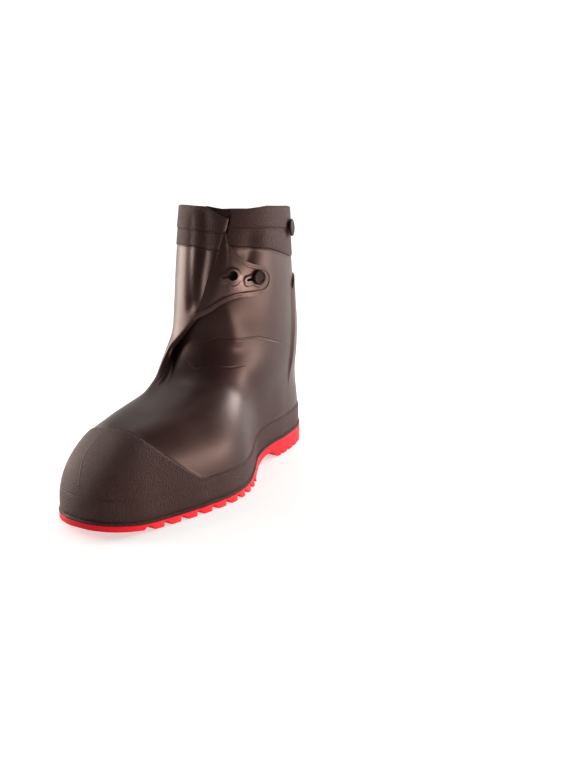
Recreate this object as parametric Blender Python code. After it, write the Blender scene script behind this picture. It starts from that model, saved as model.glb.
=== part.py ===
"""A left moulded overshoe with a lugged sole and a buttoned closing strap.

The foot and the shaft are two simple volumes that melt into each other, and the wall of the upper
follows their joint surface. The front of the shaft is folded over in a pleat, and the strap carries
on from the pleat's edge to a stud on the outer side. Working sizes are in millimetres, with x from
the heel end to the toe, y to the wearer's left (the outer side) and z up from the floor. An empty
carries the pieces, and puts the middle of the shoe's footprint at the origin.
"""
import math

import bmesh
import bpy
import numpy as np
from mathutils import Matrix, Vector

MM = 0.001

# Driving sizes
SOLE_LENGTH = 325.0
TOE_SWING = 10.2            # how far the toe tip leans to the inner side
SWING_START = 175.0
AXIS = 95.0                 # upright line in the ankle that angles are measured round
WALL = 2.0
GAP = 0.3                   # clearance between neighbouring pieces

# Sole heights
FORE_THICKNESS = 5.4        # lip above the floor under the ball
HEEL_LIFT = 11.6            # how much higher the lip runs round the heel
HEEL_RISE_FROM = 175.0
HEEL_RISE_TO = 90.0
TOE_SPRING = 6.6
SPRING_FROM = 262.0

# Plan of the sole: distance from the heel end, outer and inner half width
PLAN = np.array([
    (0.0, 0.0, 0.0),
    (10.0, 27.0, 26.0),
    (40.0, 44.0, 43.0),
    (75.0, 47.0, 45.0),
    (125.0, 46.0, 42.5),
    (150.0, 56.5, 45.5),
    (175.0, 64.5, 49.5),
    (202.0, 66.0, 54.0),
    (230.0, 60.0, 58.5),
    (270.0, 47.5, 57.5),
    (300.0, 38.5, 46.0),
    (316.0, 26.0, 30.0),
    (325.0, 0.0, 0.0),
])

# Ridge of the foot volume: distance from the heel end, height
RIDGE = np.array([
    (325.0, 24.0),
    (320.0, 42.0),
    (311.0, 54.3),
    (297.0, 66.8),
    (275.0, 80.5),
    (250.0, 87.0),
    (215.0, 94.0),
    (185.0, 102.0),
    (150.0, 109.5),
    (100.0, 115.0),
    (45.0, 106.0),
    (12.0, 84.0),
    (0.0, 60.0),
])

# Shaft volume: height, back, front, half width
SHAFT = np.array([
    (0.0, 3.0, 190.0, 44.0),
    (58.0, 6.0, 196.0, 47.0),
    (98.0, 10.0, 185.0, 50.0),
    (128.0, 13.5, 165.0, 51.0),
    (158.0, 19.5, 160.5, 51.5),
    (203.0, 27.0, 153.5, 51.0),
    (254.0, 30.5, 145.0, 48.0),
])
FOOT_POWER = (2.5, 2.8)     # roundness of a foot section across and up
SHAFT_POWER = 2.2
DEPTH_SCALE = 50.0          # turns a section's level into a depth in millimetres
MELT = 8.0                  # depth over which the two volumes melt together

# Steps in the wall, outward from the sole's outline or the shaft's surface
LIP_HEIGHT = 2.4
BAND_HEIGHT = 22.6          # top of the foxing band above the lip's foot
STEP_RISE = 0.9
BAND_INSET = 1.2
CAP_INSET = 1.3
FOOT_INSET = 2.2
COUNTER_STEP = 2.2
COLLAR_STEP = 0.8
COLLAR_TOP_STEP = 1.5

# Toe cap edge: where it crosses the ridge, and how far it runs back at the sides
CAP_CROSSING = 275.0
CAP_SWEEP = 46.0
CAP_REACH = 60.0
CAP_POWER = 4.0

# Raised counter on the back of the shaft
COUNTER_EDGE = 127.0        # degrees from the front, on both sides
COUNTER_TOP = 183.0
COUNTER_FADE = (62.0, 98.0)
COUNTER_CORNER = 12.0

# Collar lines by angle: angle from the front, lower edge, middle line, rim
COLLAR = np.array([
    (-180.0, 198.0, 226.0, 246.0),
    (-128.0, 202.0, 228.0, 246.5),
    (-72.0, 214.0, 232.0, 252.5),
    (-22.0, 220.0, 234.5, 256.0),
    (5.0, 220.0, 234.5, 256.0),
    (31.0, 222.5, 238.5, 252.8),
    (76.0, 216.0, 236.0, 255.2),
    (120.0, 204.0, 231.5, 252.2),
    (180.0, 198.0, 226.0, 246.0),
])
COLLAR_SAG = (5.0, 5.0, 8.0)    # how much lower the outer layer's lines hang at the pleat's edge

# Front pleat: height, angle of its free edge, how far the columns gather into it, spacing of its three
# layers, overlap in degrees
PLEAT = np.array([
    (0.0, -8.0, 0.0, 0.0, 3.0),
    (78.0, -8.0, 0.0, 0.0, 3.0),
    (85.0, -12.0, 0.10, 0.5, 3.0),
    (91.0, -15.0, 0.30, 1.0, 3.0),
    (98.0, -16.0, 0.50, 4.2, 3.0),
    (106.0, -17.5, 0.62, 5.2, 4.0),
    (114.0, -18.5, 0.72, 5.1, 7.0),
    (122.0, -16.5, 0.86, 5.0, 10.0),
    (130.0, -12.5, 1.0, 4.4, 14.0),
    (138.0, -8.0, 1.0, 3.9, 17.0),
    (147.0, -2.0, 1.0, 3.5, 20.0),
    (157.0, 3.6, 1.0, 3.1, 22.0),
    (172.0, 8.0, 1.0, 2.8, 23.0),
    (187.0, 11.7, 1.0, 2.7, 23.0),
    (215.0, 18.3, 1.0, 2.7, 24.0),
    (234.0, 24.8, 1.0, 2.7, 24.0),
    (254.0, 31.0, 1.0, 2.7, 24.0),
])
PLEAT_FROM = -62.0          # the columns between these angles take part in the pleat
PLEAT_TO = 50.0

# The pleat from the inner side round to the outer panel. Every column has its angle in the foot, below
# the pleat. In the pleat it lies on the outer layer (share of the way from the pleat's start to its free
# edge), then in the overlap (share of it, back from the free edge), then on the outer panel (share of the
# way from the free edge to the pleat's end). The degrees round the folds. The layer is counted in spacings
# where the pleat starts as a slope, and where it is folded flat.
PLEAT_PATH = np.array([
    # foot angle, outer, overlap, panel, degrees, slope, layer
    (-62.0, 0.00, 0.0, 0.00, 0.0, 0.00, 0.00),
    (-50.0, 0.14, 0.0, 0.00, 0.0, 0.00, 0.05),
    (-40.0, 0.28, 0.0, 0.00, 0.0, 0.04, 0.25),
    (-31.5, 0.42, 0.0, 0.00, 0.0, 0.15, 0.80),
    (-25.0, 0.56, 0.0, 0.00, 0.0, 0.40, 1.50),
    (-20.0, 0.70, 0.0, 0.00, 0.0, 0.80, 1.95),
    (-16.0, 0.84, 0.0, 0.00, 0.0, 1.25, 2.00),
    (-12.8, 1.00, 0.0, 0.00, -4.0, 1.65, 2.00),
    (-10.6, 1.00, 0.0, 0.00, -1.1, 1.90, 1.88),
    (-8.8, 1.00, 0.0, 0.00, 0.0, 1.95, 1.50),
    (-7.0, 1.00, 0.0, 0.00, -1.1, 1.75, 1.12),
    (-5.2, 1.00, 0.0, 0.00, -4.0, 1.45, 1.00),
    (-3.4, 1.00, 0.6, 0.00, 0.0, 1.15, 1.00),
    (-1.6, 1.00, 1.0, 0.00, 3.0, 0.86, 0.98),
    (0.2, 1.00, 1.0, 0.00, 0.9, 0.58, 0.86),
    (2.0, 1.00, 1.0, 0.00, 0.0, 0.34, 0.50),
    (3.8, 1.00, 1.0, 0.00, 0.9, 0.16, 0.14),
    (5.6, 1.00, 1.0, 0.00, 3.0, 0.05, 0.02),
    (7.6, 1.00, 0.5, 0.00, 0.0, 0.00, 0.00),
    (9.8, 1.00, 0.0, 0.00, -0.5, 0.00, 0.00),
    (12.6, 1.00, 0.0, 0.12, 0.0, 0.00, 0.00),
    (16.8, 1.00, 0.0, 0.26, 0.0, 0.00, 0.00),
    (22.6, 1.00, 0.0, 0.42, 0.0, 0.00, 0.00),
    (29.0, 1.00, 0.0, 0.57, 0.0, 0.00, 0.00),
    (35.5, 1.00, 0.0, 0.71, 0.0, 0.00, 0.00),
    (42.5, 1.00, 0.0, 0.86, 0.0, 0.00, 0.00),
    (50.0, 1.00, 0.0, 1.00, 0.0, 0.00, 0.00),
])
FULL_OVERLAP = 12.0         # the folds are tighter where the overlap is smaller than this
PLEAT_SHOWS_UNTIL = 7       # columns up to here are on the outer layer
PLEAT_SHOWS_FROM = 20       # columns from here are on the outer panel

# Column and row counts of the upper's wall
SIDE_COLUMNS = 6
COUNTER_COLUMNS = 6
CAP_ROWS = 3
VAMP_ROWS = 12
SHAFT_ROWS = 3

# Tread of the forefoot, measured back from the toe tip
TOE_PAD = 31.0
CROSS_GROOVES = (34.0, 50.0, 66.0, 81.5, 97.0, 112.5, 127.5, 140.0, 153.0, 166.0)
FORE_FLANK = 2.9
HEEL_FLANK = 1.5
FLOOR_HALF = 0.9
GROOVE_DEPTH = 3.5
LUG_FLARE = 2.5             # how far the lugs spread out over the sole's outline
SIDE_FLANK = 2.3
SIDE_FLOOR_HALF = 0.8
TREAD_END = 172.0
LEAF_START = 56.0           # where the two inner channels part

# Waist and heel, measured back from the toe tip
ARCH_FROM = 178.0
ARCH_TO = 228.0
ARCH_HEIGHT = 8.5
BREAST = 239.0
HEEL_GROOVES = (246.0, 258.8, 271.6, 284.4)
LAST_GROOVE = 297.0
LAST_GROOVE_BEND = 7.0
LAST_GROOVE_STRAIGHT = 0.85    # share of the half width beyond which this groove runs straight
LAST_GROOVE_TURN = 1.6
HEEL_CHANNEL_END = 306.0

# Lengthwise channels: distance from the toe tip, outer and inner channel as a share of the half width
CHANNELS = np.array([
    (0.0, 0.70, 0.06),
    (33.0, 0.70, 0.06),
    (56.0, 0.70, 0.08),
    (70.0, 0.69, 0.18),
    (97.0, 0.68, 0.30),
    (140.0, 0.67, 0.29),
    (178.0, 0.66, 0.21),
    (245.0, 0.59, 0.20),
    (325.0, 0.59, 0.20),
])

INSOLE_THICKNESS = 3.0
INSOLE_CLEARANCE = 0.7

# Closing strap: heights of its lower and upper edge by angle. Up to its tip it starts at the pleat, and
# its end is rounded to a tongue.
STRAP_LOWER = np.array([
    (1.2, 154.5),
    (8.2, 158.8),
    (14.8, 163.8),
    (21.2, 169.2),
    (27.8, 173.0),
    (34.5, 175.4),
    (45.0, 176.0),
    (73.5, 176.4),
])
STRAP_UPPER = np.array([
    (26.3, 234.5),
    (27.4, 227.0),
    (31.2, 219.8),
    (37.2, 212.5),
    (45.0, 206.5),
    (53.8, 203.2),
    (60.0, 202.2),
    (73.5, 202.2),
])
TONGUE_FROM = 60.0
TONGUE_BLUNT = 0.02         # degrees that the tongue's end falls short of a point
STRAP_THICKNESS = 2.0
STRAP_ROOT_WIDTH = 1.0
STRAP_ROOT_GAP = 1.8        # degrees from the pleat's mid line to the strap
STRAP_ROOT_LAYER = 1.5
STRAP_SETTLES = 50.0        # angle from which the strap lies on the outer panel
STRAP_ROOT_COLUMNS = 9
STRAP_COLUMNS = 16
STRAP_ROWS = 5
STRAP_CROWDING = 1.6        # how much the columns crowd at the tongue's end

# Studs and keyholes: angle, height, and length of the keyhole's slit
BUTTON_PLACE = (56.5, 191.0, 13.0)
FREE_HOLE_PLACE = (32.0, 194.0, 10.0)
COLLAR_BUTTON_PLACE = (121.0, 231.0)
HOLE_RADIUS = 4.6
SLIT_WIDTH = 2.6
SLIT_RISE = 8.0             # degrees that the slits rise towards the strap's root
NECK_RADIUS = 3.8
HEAD_RADIUS = 7.0
HEAD_HEIGHT = 3.4
HEAD_CLEARANCE = 0.7        # from the strap to the stud's head
COLLAR_HEAD_RADIUS = 8.5
STUD_SIDES = 20

# Finishes: colour, roughness
DARK_PVC = ((0.045, 0.030, 0.027, 1.0), 0.42)
FOOTBED_PVC = ((0.020, 0.016, 0.015, 1.0), 0.65)
RED_PVC = ((0.80, 0.012, 0.030, 1.0), 0.45)


def smooth_rows(stations, values, where):
    """Cubic curve through a table's rows, held at its ends."""
    stations = np.asarray(stations, float)
    values = np.asarray(values, float)
    step = np.diff(stations)
    rise = np.diff(values) / step
    slope = np.empty_like(values)
    slope[1:-1] = (rise[:-1] * step[1:] + rise[1:] * step[:-1]) / (step[1:] + step[:-1])
    slope[0] = 1.5 * rise[0] - 0.5 * slope[1]
    slope[-1] = 1.5 * rise[-1] - 0.5 * slope[-2]
    where = np.clip(where, stations[0], stations[-1])
    row = np.clip(np.searchsorted(stations, where) - 1, 0, len(stations) - 2)
    width = step[row]
    t = (where - stations[row]) / width
    start = (1 + 2 * t) * (1 - t) ** 2 * values[row] + t * (1 - t) ** 2 * width * slope[row]
    end = t * t * (3 - 2 * t) * values[row + 1] + t * t * (t - 1) * width * slope[row + 1]
    return start + end


def ease(low, high, value):
    """Smooth 0 to 1 ramp between two values."""
    t = np.clip((value - low) / (high - low), 0.0, 1.0)
    return t * t * (3.0 - 2.0 * t)


# The last: plan, ridge and shaft

def turn_station(x):
    """Turn of a half circle over the sole's length, so that an outline closes round at both ends."""
    return np.arccos(1.0 - 2.0 * np.clip(x, 0.0, SOLE_LENGTH) / SOLE_LENGTH)


def half_width(x, outer):
    column = 1 if outer else 2
    return np.maximum(smooth_rows(turn_station(PLAN[:, 0]), PLAN[:, column], turn_station(x)), 0.0)


def centre_line(x):
    return -TOE_SWING * np.clip((x - SWING_START) / (SOLE_LENGTH - SWING_START), 0.0, None) ** 2


def feather(x):
    """Height of the joint between upper and sole."""
    spring = np.clip((x - SPRING_FROM) / (SOLE_LENGTH - SPRING_FROM), 0.0, 1.0) ** 2
    rise = 1.0 - ease(HEEL_RISE_TO, HEEL_RISE_FROM, x)
    return FORE_THICKNESS + TOE_SPRING * spring + HEEL_LIFT * rise


def ridge_height(x):
    back_from_toe = np.sqrt(np.clip((SOLE_LENGTH - x) / SOLE_LENGTH, 0.0, 1.0))
    stations = np.sqrt((SOLE_LENGTH - RIDGE[:, 0]) / SOLE_LENGTH)
    return smooth_rows(stations, RIDGE[:, 1], back_from_toe)


def depth_inside(x, y, z):
    """About how deep a point lies in the joint volume of foot and shaft, in millimetres."""
    across = y - centre_line(x)
    width = np.where(across > 0.0, half_width(x, True), half_width(x, False)) + 0.01
    beyond = np.maximum(np.maximum(-x, x - SOLE_LENGTH), 0.0)
    across = np.hypot(across, beyond)
    floor = feather(x)
    up = np.clip((z - floor) / np.maximum(ridge_height(x) - floor, 1.0), 0.0, None)
    level = (np.abs(across) / width) ** FOOT_POWER[0] + up ** FOOT_POWER[1]
    foot = (1.0 - level ** (2.0 / sum(FOOT_POWER))) * DEPTH_SCALE
    back, front, half = (smooth_rows(SHAFT[:, 0], SHAFT[:, c], z) for c in (1, 2, 3))
    along = np.abs(x - (back + front) / 2) / ((front - back) / 2)
    level = along ** SHAFT_POWER + (np.abs(y) / half) ** SHAFT_POWER
    shaft = (1.0 - level ** (1.0 / SHAFT_POWER)) * DEPTH_SCALE
    share = np.clip(0.5 + 0.5 * (foot - shaft) / MELT, 0.0, 1.0)
    return shaft * (1 - share) + foot * share + MELT * share * (1 - share)


def skin(angle, z):
    """Points of the last's surface at an angle from the front (degrees) and a height."""
    heading = np.radians(angle)
    near = np.zeros_like(heading)
    far = np.full_like(heading, SOLE_LENGTH)
    for _ in range(34):
        middle = (near + far) / 2
        deep = depth_inside(AXIS + middle * np.cos(heading), middle * np.sin(heading), z) > 0.0
        near = np.where(deep, middle, near)
        far = np.where(deep, far, middle)
    return np.stack([AXIS + near * np.cos(heading), near * np.sin(heading), z], -1)


def outward(angle, z):
    """Outward normals of the last's surface."""
    reach = 0.6
    along = skin(angle + reach, z) - skin(angle - reach, z)
    upward = skin(angle, z + reach) - skin(angle, z - reach)
    normal = np.cross(along, upward)
    return normal / np.linalg.norm(normal, axis=-1, keepdims=True)


# The pleat and the columns of the upper's wall

def pleat_row(z):
    """Angle of the free edge, gathering, layer spacing and overlap at a height."""
    return tuple(smooth_rows(PLEAT[:, 0], PLEAT[:, c], z) for c in (1, 2, 3, 4))


def column_count():
    return 2 * (COUNTER_COLUMNS + SIDE_COLUMNS) + len(PLEAT_PATH)


def column_places(z):
    """Angle and outward layer of every wall column at the heights z, one height per column."""
    first = COUNTER_COLUMNS + SIDE_COLUMNS
    count = len(PLEAT_PATH)
    part = slice(first, first + count)
    counter = np.linspace(-180.0, -COUNTER_EDGE - 1.2, COUNTER_COLUMNS)
    inner_side = np.linspace(-COUNTER_EDGE + 1.2, PLEAT_FROM, SIDE_COLUMNS + 1)[:-1]
    outer_side = np.linspace(PLEAT_TO, COUNTER_EDGE - 1.2, SIDE_COLUMNS + 1)[1:]
    edge, gather, spacing, overlap = pleat_row(z[part])
    gather = np.clip(gather, 0.0, 1.0)
    flat, outer, inner, panel, degrees, slope, level = PLEAT_PATH.T
    degrees = degrees * np.minimum(overlap / FULL_OVERLAP, 1.0)
    bent = PLEAT_FROM + outer * (edge - PLEAT_FROM) - inner * overlap + panel * (PLEAT_TO - edge) + degrees
    angle = np.concatenate([counter, inner_side, flat + (bent - flat) * gather, outer_side, -counter[::-1]])
    layer = np.zeros_like(z)
    layer[part] = (slope + (level - slope) * gather ** 2) * np.maximum(spacing, 0.0)
    return angle, layer


def collar_lines(columns):
    """Lower edge, middle line and rim for each column."""
    top = np.full(columns, SHAFT[-1, 0])
    angle, _ = column_places(top)
    lines = [np.interp(angle, COLLAR[:, 0], COLLAR[:, c]) for c in (1, 2, 3)]
    edge = pleat_row(top)[0]
    first = COUNTER_COLUMNS + SIDE_COLUMNS
    index = np.arange(columns) - first
    on_outer_layer = index <= PLEAT_SHOWS_UNTIL
    sag = ease(PLEAT_FROM, 0.0, angle - edge) * on_outer_layer
    hidden = (index > PLEAT_SHOWS_UNTIL) & (index < PLEAT_SHOWS_FROM)
    travelled = (PLEAT_SHOWS_FROM - index) / (PLEAT_SHOWS_FROM - PLEAT_SHOWS_UNTIL)
    sag = np.where(hidden, travelled, sag)
    return [line - most * sag for line, most in zip(lines, COLLAR_SAG)]


def cap_edge(y, x):
    return CAP_CROSSING - CAP_SWEEP * np.abs((y - centre_line(x)) / CAP_REACH) ** CAP_POWER


def wall_heights():
    """Heights of the wall's rows, one list per column, with the steps of the wall as pairs of rows."""
    columns = column_count()
    low, middle, rim = collar_lines(columns)
    samples = 150
    foot_angle, _ = column_places(np.full(columns, 20.0))
    foot_x = skin(foot_angle, np.full(columns, 20.0))[:, 0]
    floor = feather(foot_x) + GAP
    share = np.linspace(0.0, 1.0, samples)[:, None]
    z = floor + (rim - floor) * share
    angle = np.stack([column_places(row)[0] for row in z])
    points = skin(angle.ravel(), z.ravel()).reshape(samples, columns, 3)
    rows = []
    for c in range(columns):
        length = np.concatenate([[0.0], np.cumsum(np.linalg.norm(np.diff(points[:, c], axis=0), axis=1))])
        band = floor[c] + BAND_HEIGHT
        ahead = points[:, c, 0] - cap_edge(points[:, c, 1], points[:, c, 0])
        crossing = np.nonzero((ahead[:-1] > 0.0) & (ahead[1:] <= 0.0))[0]
        cap_length = np.interp(band, z[:, c], length) + 3.0 * STEP_RISE
        if len(crossing):
            at = crossing[-1]
            share_in = ahead[at] / (ahead[at] - ahead[at + 1])
            cap_length = max(cap_length, length[at] + share_in * (length[at + 1] - length[at]))
        cap_from, cap = np.interp((cap_length - STEP_RISE, cap_length), length, z[:, c])

        def fill(lower, upper, count):
            ends = np.interp((lower, upper), z[:, c], length)
            inside = np.linspace(ends[0], ends[1], count + 2)[1:-1]
            return list(np.interp(inside, length, z[:, c]))

        lip = floor[c] + LIP_HEIGHT
        column = [floor[c], lip, lip + STEP_RISE, (lip + band) / 2, band - STEP_RISE, band]
        column += fill(band, cap_from, CAP_ROWS) + [cap_from, cap]
        column += fill(cap, COUNTER_TOP - STEP_RISE, VAMP_ROWS)
        column += [COUNTER_TOP - STEP_RISE, COUNTER_TOP]
        column += fill(COUNTER_TOP, low[c] - STEP_RISE, SHAFT_ROWS - 1) + [low[c] - STEP_RISE, low[c]]
        column += fill(low[c], middle[c] - STEP_RISE, 1) + [middle[c] - STEP_RISE, middle[c]]
        column += fill(middle[c], rim[c], 1) + [rim[c]]
        rows.append(column)
    return np.array(rows).T


CAP_FIRST_ROW = 5
CAP_LAST_ROW = CAP_FIRST_ROW + CAP_ROWS + 1
COUNTER_ROW = CAP_LAST_ROW + VAMP_ROWS + 2
COLLAR_ROW = COUNTER_ROW + 1 + SHAFT_ROWS + 1
COLLAR_TOP_ROW = COLLAR_ROW + 3


def wall_steps(z, angle):
    """How far the outer face stands out from the plain wall at each row and column."""
    rows, columns = z.shape
    row = np.arange(rows)[:, None]
    first = COUNTER_COLUMNS + SIDE_COLUMNS
    index = np.arange(columns)[None, :] - first
    shows = (index <= PLEAT_SHOWS_UNTIL) | (index >= PLEAT_SHOWS_FROM)
    step = np.where(row <= 1, FOOT_INSET, 0.0)
    step = np.where((row > 1) & (row < CAP_FIRST_ROW), FOOT_INSET - BAND_INSET, step)
    on_cap = (row >= CAP_FIRST_ROW) & (row <= CAP_LAST_ROW)
    step = np.where(on_cap, FOOT_INSET - CAP_INSET, step)
    behind = np.abs(angle) > COUNTER_EDGE
    fade = ease(COUNTER_FADE[0], COUNTER_FADE[1], z)
    past_edge = np.clip(np.abs(angle) - COUNTER_EDGE, 0.0, COUNTER_CORNER)
    corner = COUNTER_CORNER - np.sqrt(COUNTER_CORNER ** 2 - (COUNTER_CORNER - past_edge) ** 2)
    in_panel = behind & (row < COUNTER_ROW) & (z < COUNTER_TOP - corner)
    step = np.where(in_panel & (row > CAP_LAST_ROW), COUNTER_STEP * fade, step)
    step = np.where(row >= COLLAR_ROW, COLLAR_STEP, step)
    step = np.where(row >= COLLAR_TOP_ROW, COLLAR_TOP_STEP, step)
    return np.where(shows | (row <= CAP_LAST_ROW), step, 0.0)


def loop_normals(grid):
    """Normals of a grid of points whose columns form a closed loop."""
    around = np.roll(grid, -1, axis=1) - np.roll(grid, 1, axis=1)
    upward = np.gradient(grid, axis=0)
    normal = np.cross(around, upward)
    return normal / np.linalg.norm(normal, axis=-1, keepdims=True)


def wall_faces():
    """Outer and inner points of the upper's wall, rows by columns."""
    z = wall_heights()
    # The first and the last column are the same line down the heel.
    places = [column_places(row) for row in z]
    angle = np.stack([p[0] for p in places])[:, :-1]
    layer = np.stack([p[1] for p in places])[:, :-1]
    z = z[:, :-1]
    shape = z.shape
    surface = skin(angle.ravel(), z.ravel()).reshape(*shape, 3)
    normal = outward(angle.ravel(), z.ravel()).reshape(*shape, 3)
    inset = WALL / 2 + FOOT_INSET * (1.0 - ease(60.0, 110.0, z))
    level = normal.copy()
    level[..., 2] *= ease(12.0, 40.0, z)
    middle = surface + level * (layer - inset)[..., None]
    facing = loop_normals(middle)
    facing[..., 2] *= ease(12.0, 40.0, z)
    facing /= np.linalg.norm(facing, axis=-1, keepdims=True)
    outer = middle + facing * (WALL / 2 + wall_steps(z, angle))[..., None]
    inner = middle - facing * (WALL / 2)
    for face in (outer, inner):
        face[0, :, 2] = z[0]
        face[-1, :, 2] = z[-1]
    return outer, inner


# Mesh helpers

def finish_mesh(name, bm, finish, sharp=35.0):
    """Closes a bmesh into a named object with its own material."""
    bmesh.ops.remove_doubles(bm, verts=bm.verts, dist=0.00001)
    bmesh.ops.triangulate(bm, faces=bm.faces)
    bmesh.ops.recalc_face_normals(bm, faces=bm.faces)
    mesh = bpy.data.meshes.new(name)
    bm.to_mesh(mesh)
    bm.free()
    mesh.shade_smooth()
    mesh.set_sharp_from_angle(angle=math.radians(sharp))
    colour, roughness = finish
    material = bpy.data.materials.new(name + "_finish")
    material.use_nodes = True
    shader = material.node_tree.nodes["Principled BSDF"]
    shader.inputs["Base Color"].default_value = colour
    shader.inputs["Roughness"].default_value = roughness
    shader.inputs["Metallic"].default_value = 0.0
    mesh.materials.append(material)
    piece = bpy.data.objects.new(name, mesh)
    bpy.context.collection.objects.link(piece)
    return piece


def add_grid(bm, points):
    """Vertices of a grid of points given in millimetres."""
    return [[bm.verts.new(Vector(p) * MM) for p in row] for row in points]


def quad(bm, *corners):
    distinct = list(dict.fromkeys(corners))
    if len(distinct) > 2:
        bm.faces.new(distinct)


def lattice(bm, grid, closed=False):
    """Faces between the rows and columns of a vertex grid."""
    columns = len(grid[0])
    last = columns if closed else columns - 1
    for lower, upper in zip(grid, grid[1:]):
        for c in range(last):
            d = (c + 1) % columns
            quad(bm, lower[c], lower[d], upper[d], upper[c])


# Pieces

def make_upper():
    outer, inner = wall_faces()
    bm = bmesh.new()
    outside = add_grid(bm, outer)
    inside = add_grid(bm, inner)
    lattice(bm, outside, closed=True)
    lattice(bm, inside[::-1], closed=True)
    lattice(bm, [inside[0], outside[0]], closed=True)
    lattice(bm, [outside[-1], inside[-1]], closed=True)
    return finish_mesh("upper", bm, DARK_PVC), inner


def sole_lines():
    """Cross lines of the tread from toe to heel: distance from the toe tip, and 1 on a lug or 0 in a groove."""
    lines = [(d, 1) for d in (0.6, 2.6, 6.5, 12.0, 20.0, TOE_PAD - 1.5)]
    for groove in CROSS_GROOVES:
        edge = FLOOR_HALF + FORE_FLANK
        lines += [(groove - edge, 1), (groove - FLOOR_HALF, 0), (groove + FLOOR_HALF, 0), (groove + edge, 1)]
    waist = np.linspace(ARCH_FROM, ARCH_TO, 6)
    lines += [(d, 1) for d in waist]
    lines += [((ARCH_TO + BREAST) / 2, 1), (BREAST, 1)]
    for groove in HEEL_GROOVES + (LAST_GROOVE,):
        edge = FLOOR_HALF + HEEL_FLANK
        lines += [(groove - edge, 1), (groove - FLOOR_HALF, 0), (groove + FLOOR_HALF, 0), (groove + edge, 1)]
    lines += [(d, 1) for d in (309.5, 314.0, 319.0, 322.6, 324.4)]
    return lines


def tread_level(distance):
    """Height of the lug faces: toe spring, flat forefoot, arch, breast and flat heel."""
    x = SOLE_LENGTH - distance
    spring = TOE_SPRING * np.clip((x - SPRING_FROM) / (SOLE_LENGTH - SPRING_FROM), 0.0, 1.0) ** 2
    arch = ease(ARCH_FROM, ARCH_TO, distance) * (1.0 - np.clip((distance - ARCH_TO) / (BREAST - ARCH_TO), 0, 1))
    return spring + ARCH_HEIGHT * arch


def channel_lines(distance, x):
    """Lengthwise lines of the tread, outer side to inner side: y, and 1 on a lug or 0 in a channel."""
    outer_share, inner_share = (smooth_rows(CHANNELS[:, 0], CHANNELS[:, c], distance) for c in (1, 2))
    left = float(half_width(x, True))
    right = float(half_width(x, False))
    middle = float(centre_line(x))
    squeeze = min(1.0, (left + right) / 70.0)
    in_fore = TOE_PAD < distance < TREAD_END
    in_heel = BREAST < distance < HEEL_CHANNEL_END
    lines = [(middle + left, 1)]
    for share, half, cut in (
        (outer_share, left, in_fore or in_heel),
        (inner_share, left, in_fore and distance > LEAF_START),
        (-inner_share, right, in_fore and distance > LEAF_START),
        (-outer_share, right, in_fore or in_heel),
    ):
        place = middle + share * half
        floor = SIDE_FLOOR_HALF * squeeze * min(1.0, abs(share) / 0.12)
        edge = floor + SIDE_FLANK * squeeze * min(1.0, abs(share) / 0.12)
        state = 0 if cut else 1
        lines += [(place + edge, 1), (place + floor, state), (place - floor, state), (place - edge, 1)]
    return lines + [(middle - right, 1)]


def make_outsole():
    under = []
    over = []
    for distance, lug in sole_lines():
        x = SOLE_LENGTH - distance
        lines = channel_lines(distance, x)
        bend = np.zeros(len(lines))
        if abs(distance - LAST_GROOVE) < 4.0:
            width = lines[0][0] - lines[-1][0]
            off = np.array([abs(2 * (y - lines[-1][0]) / width - 1.0) for y, _ in lines])
            bend = -LAST_GROOVE_BEND * np.clip(LAST_GROOVE_TURN * (LAST_GROOVE_STRAIGHT - off), 0.0, 1.0)
        floor = float(tread_level(distance))
        top = float(feather(x))
        row = []
        for (y, state), shift in zip(lines, bend):
            low = floor if lug and state else floor + GROOVE_DEPTH
            row.append((x + shift, y, low))
        if lug and TOE_PAD < distance < TREAD_END:
            row[0] = (x, row[0][1] + LUG_FLARE, row[0][2])
            row[-1] = (x, row[-1][1] - LUG_FLARE, row[-1][2])
        under.append(row)
        over.append([(x, lines[0][0], top), (x, float(centre_line(x)), top), (x, lines[-1][0], top)])
    bm = bmesh.new()
    tread = add_grid(bm, under)
    bed = add_grid(bm, over)
    lattice(bm, tread)
    lattice(bm, bed[::-1])
    left = [[low[0], high[0]] for low, high in zip(tread, bed)]
    right = [[high[-1], low[-1]] for low, high in zip(tread, bed)]
    lattice(bm, left)
    lattice(bm, right)
    for low, high in ((tread[0], bed[0]), (tread[-1], bed[-1])):
        bm.faces.new(low + high[::-1])
    return finish_mesh("outsole", bm, RED_PVC, sharp=25.0)


def make_insole(inner):
    """A thin bed inside the wall's foot, made of slats from the outer to the inner side."""
    count = inner.shape[1]
    rows = []
    for c in range(1, count // 2 + 1):
        left = inner[1, c]
        right = inner[1, -c]
        middle = (left + right) / 2
        row = []
        for end in (left, middle, right):
            inward = middle - end
            reach = np.linalg.norm(inward[:2])
            place = end + inward * min(1.0, INSOLE_CLEARANCE / reach) if reach > 0.0 else end
            row.append(place)
        rows.append(row)
    rows = [row for row in rows if np.linalg.norm(row[0] - row[2]) > 6.0]
    under = [[(p[0], p[1], float(feather(p[0])) + GAP) for p in row] for row in rows]
    over = [[(p[0], p[1], float(feather(p[0])) + GAP + INSOLE_THICKNESS) for p in row] for row in rows]
    bm = bmesh.new()
    low = add_grid(bm, under)
    high = add_grid(bm, over)
    lattice(bm, low[::-1])
    lattice(bm, high)
    lattice(bm, [[a[0], b[0]] for a, b in zip(low, high)])
    lattice(bm, [[b[-1], a[-1]] for a, b in zip(low, high)])
    for a, b in ((low[0], high[0]), (low[-1], high[-1])):
        bm.faces.new(a + b[::-1])
    return finish_mesh("insole", bm, FOOTBED_PVC)


def on_panel(angle, z, lift):
    """Points over the outer panel, lifted from its outer face."""
    angle = np.asarray(angle, float)
    z = np.asarray(z, float)
    inset = FOOT_INSET * (1.0 - ease(60.0, 110.0, z))
    return skin(angle, z) + outward(angle, z) * (lift - inset)[..., None]


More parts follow.
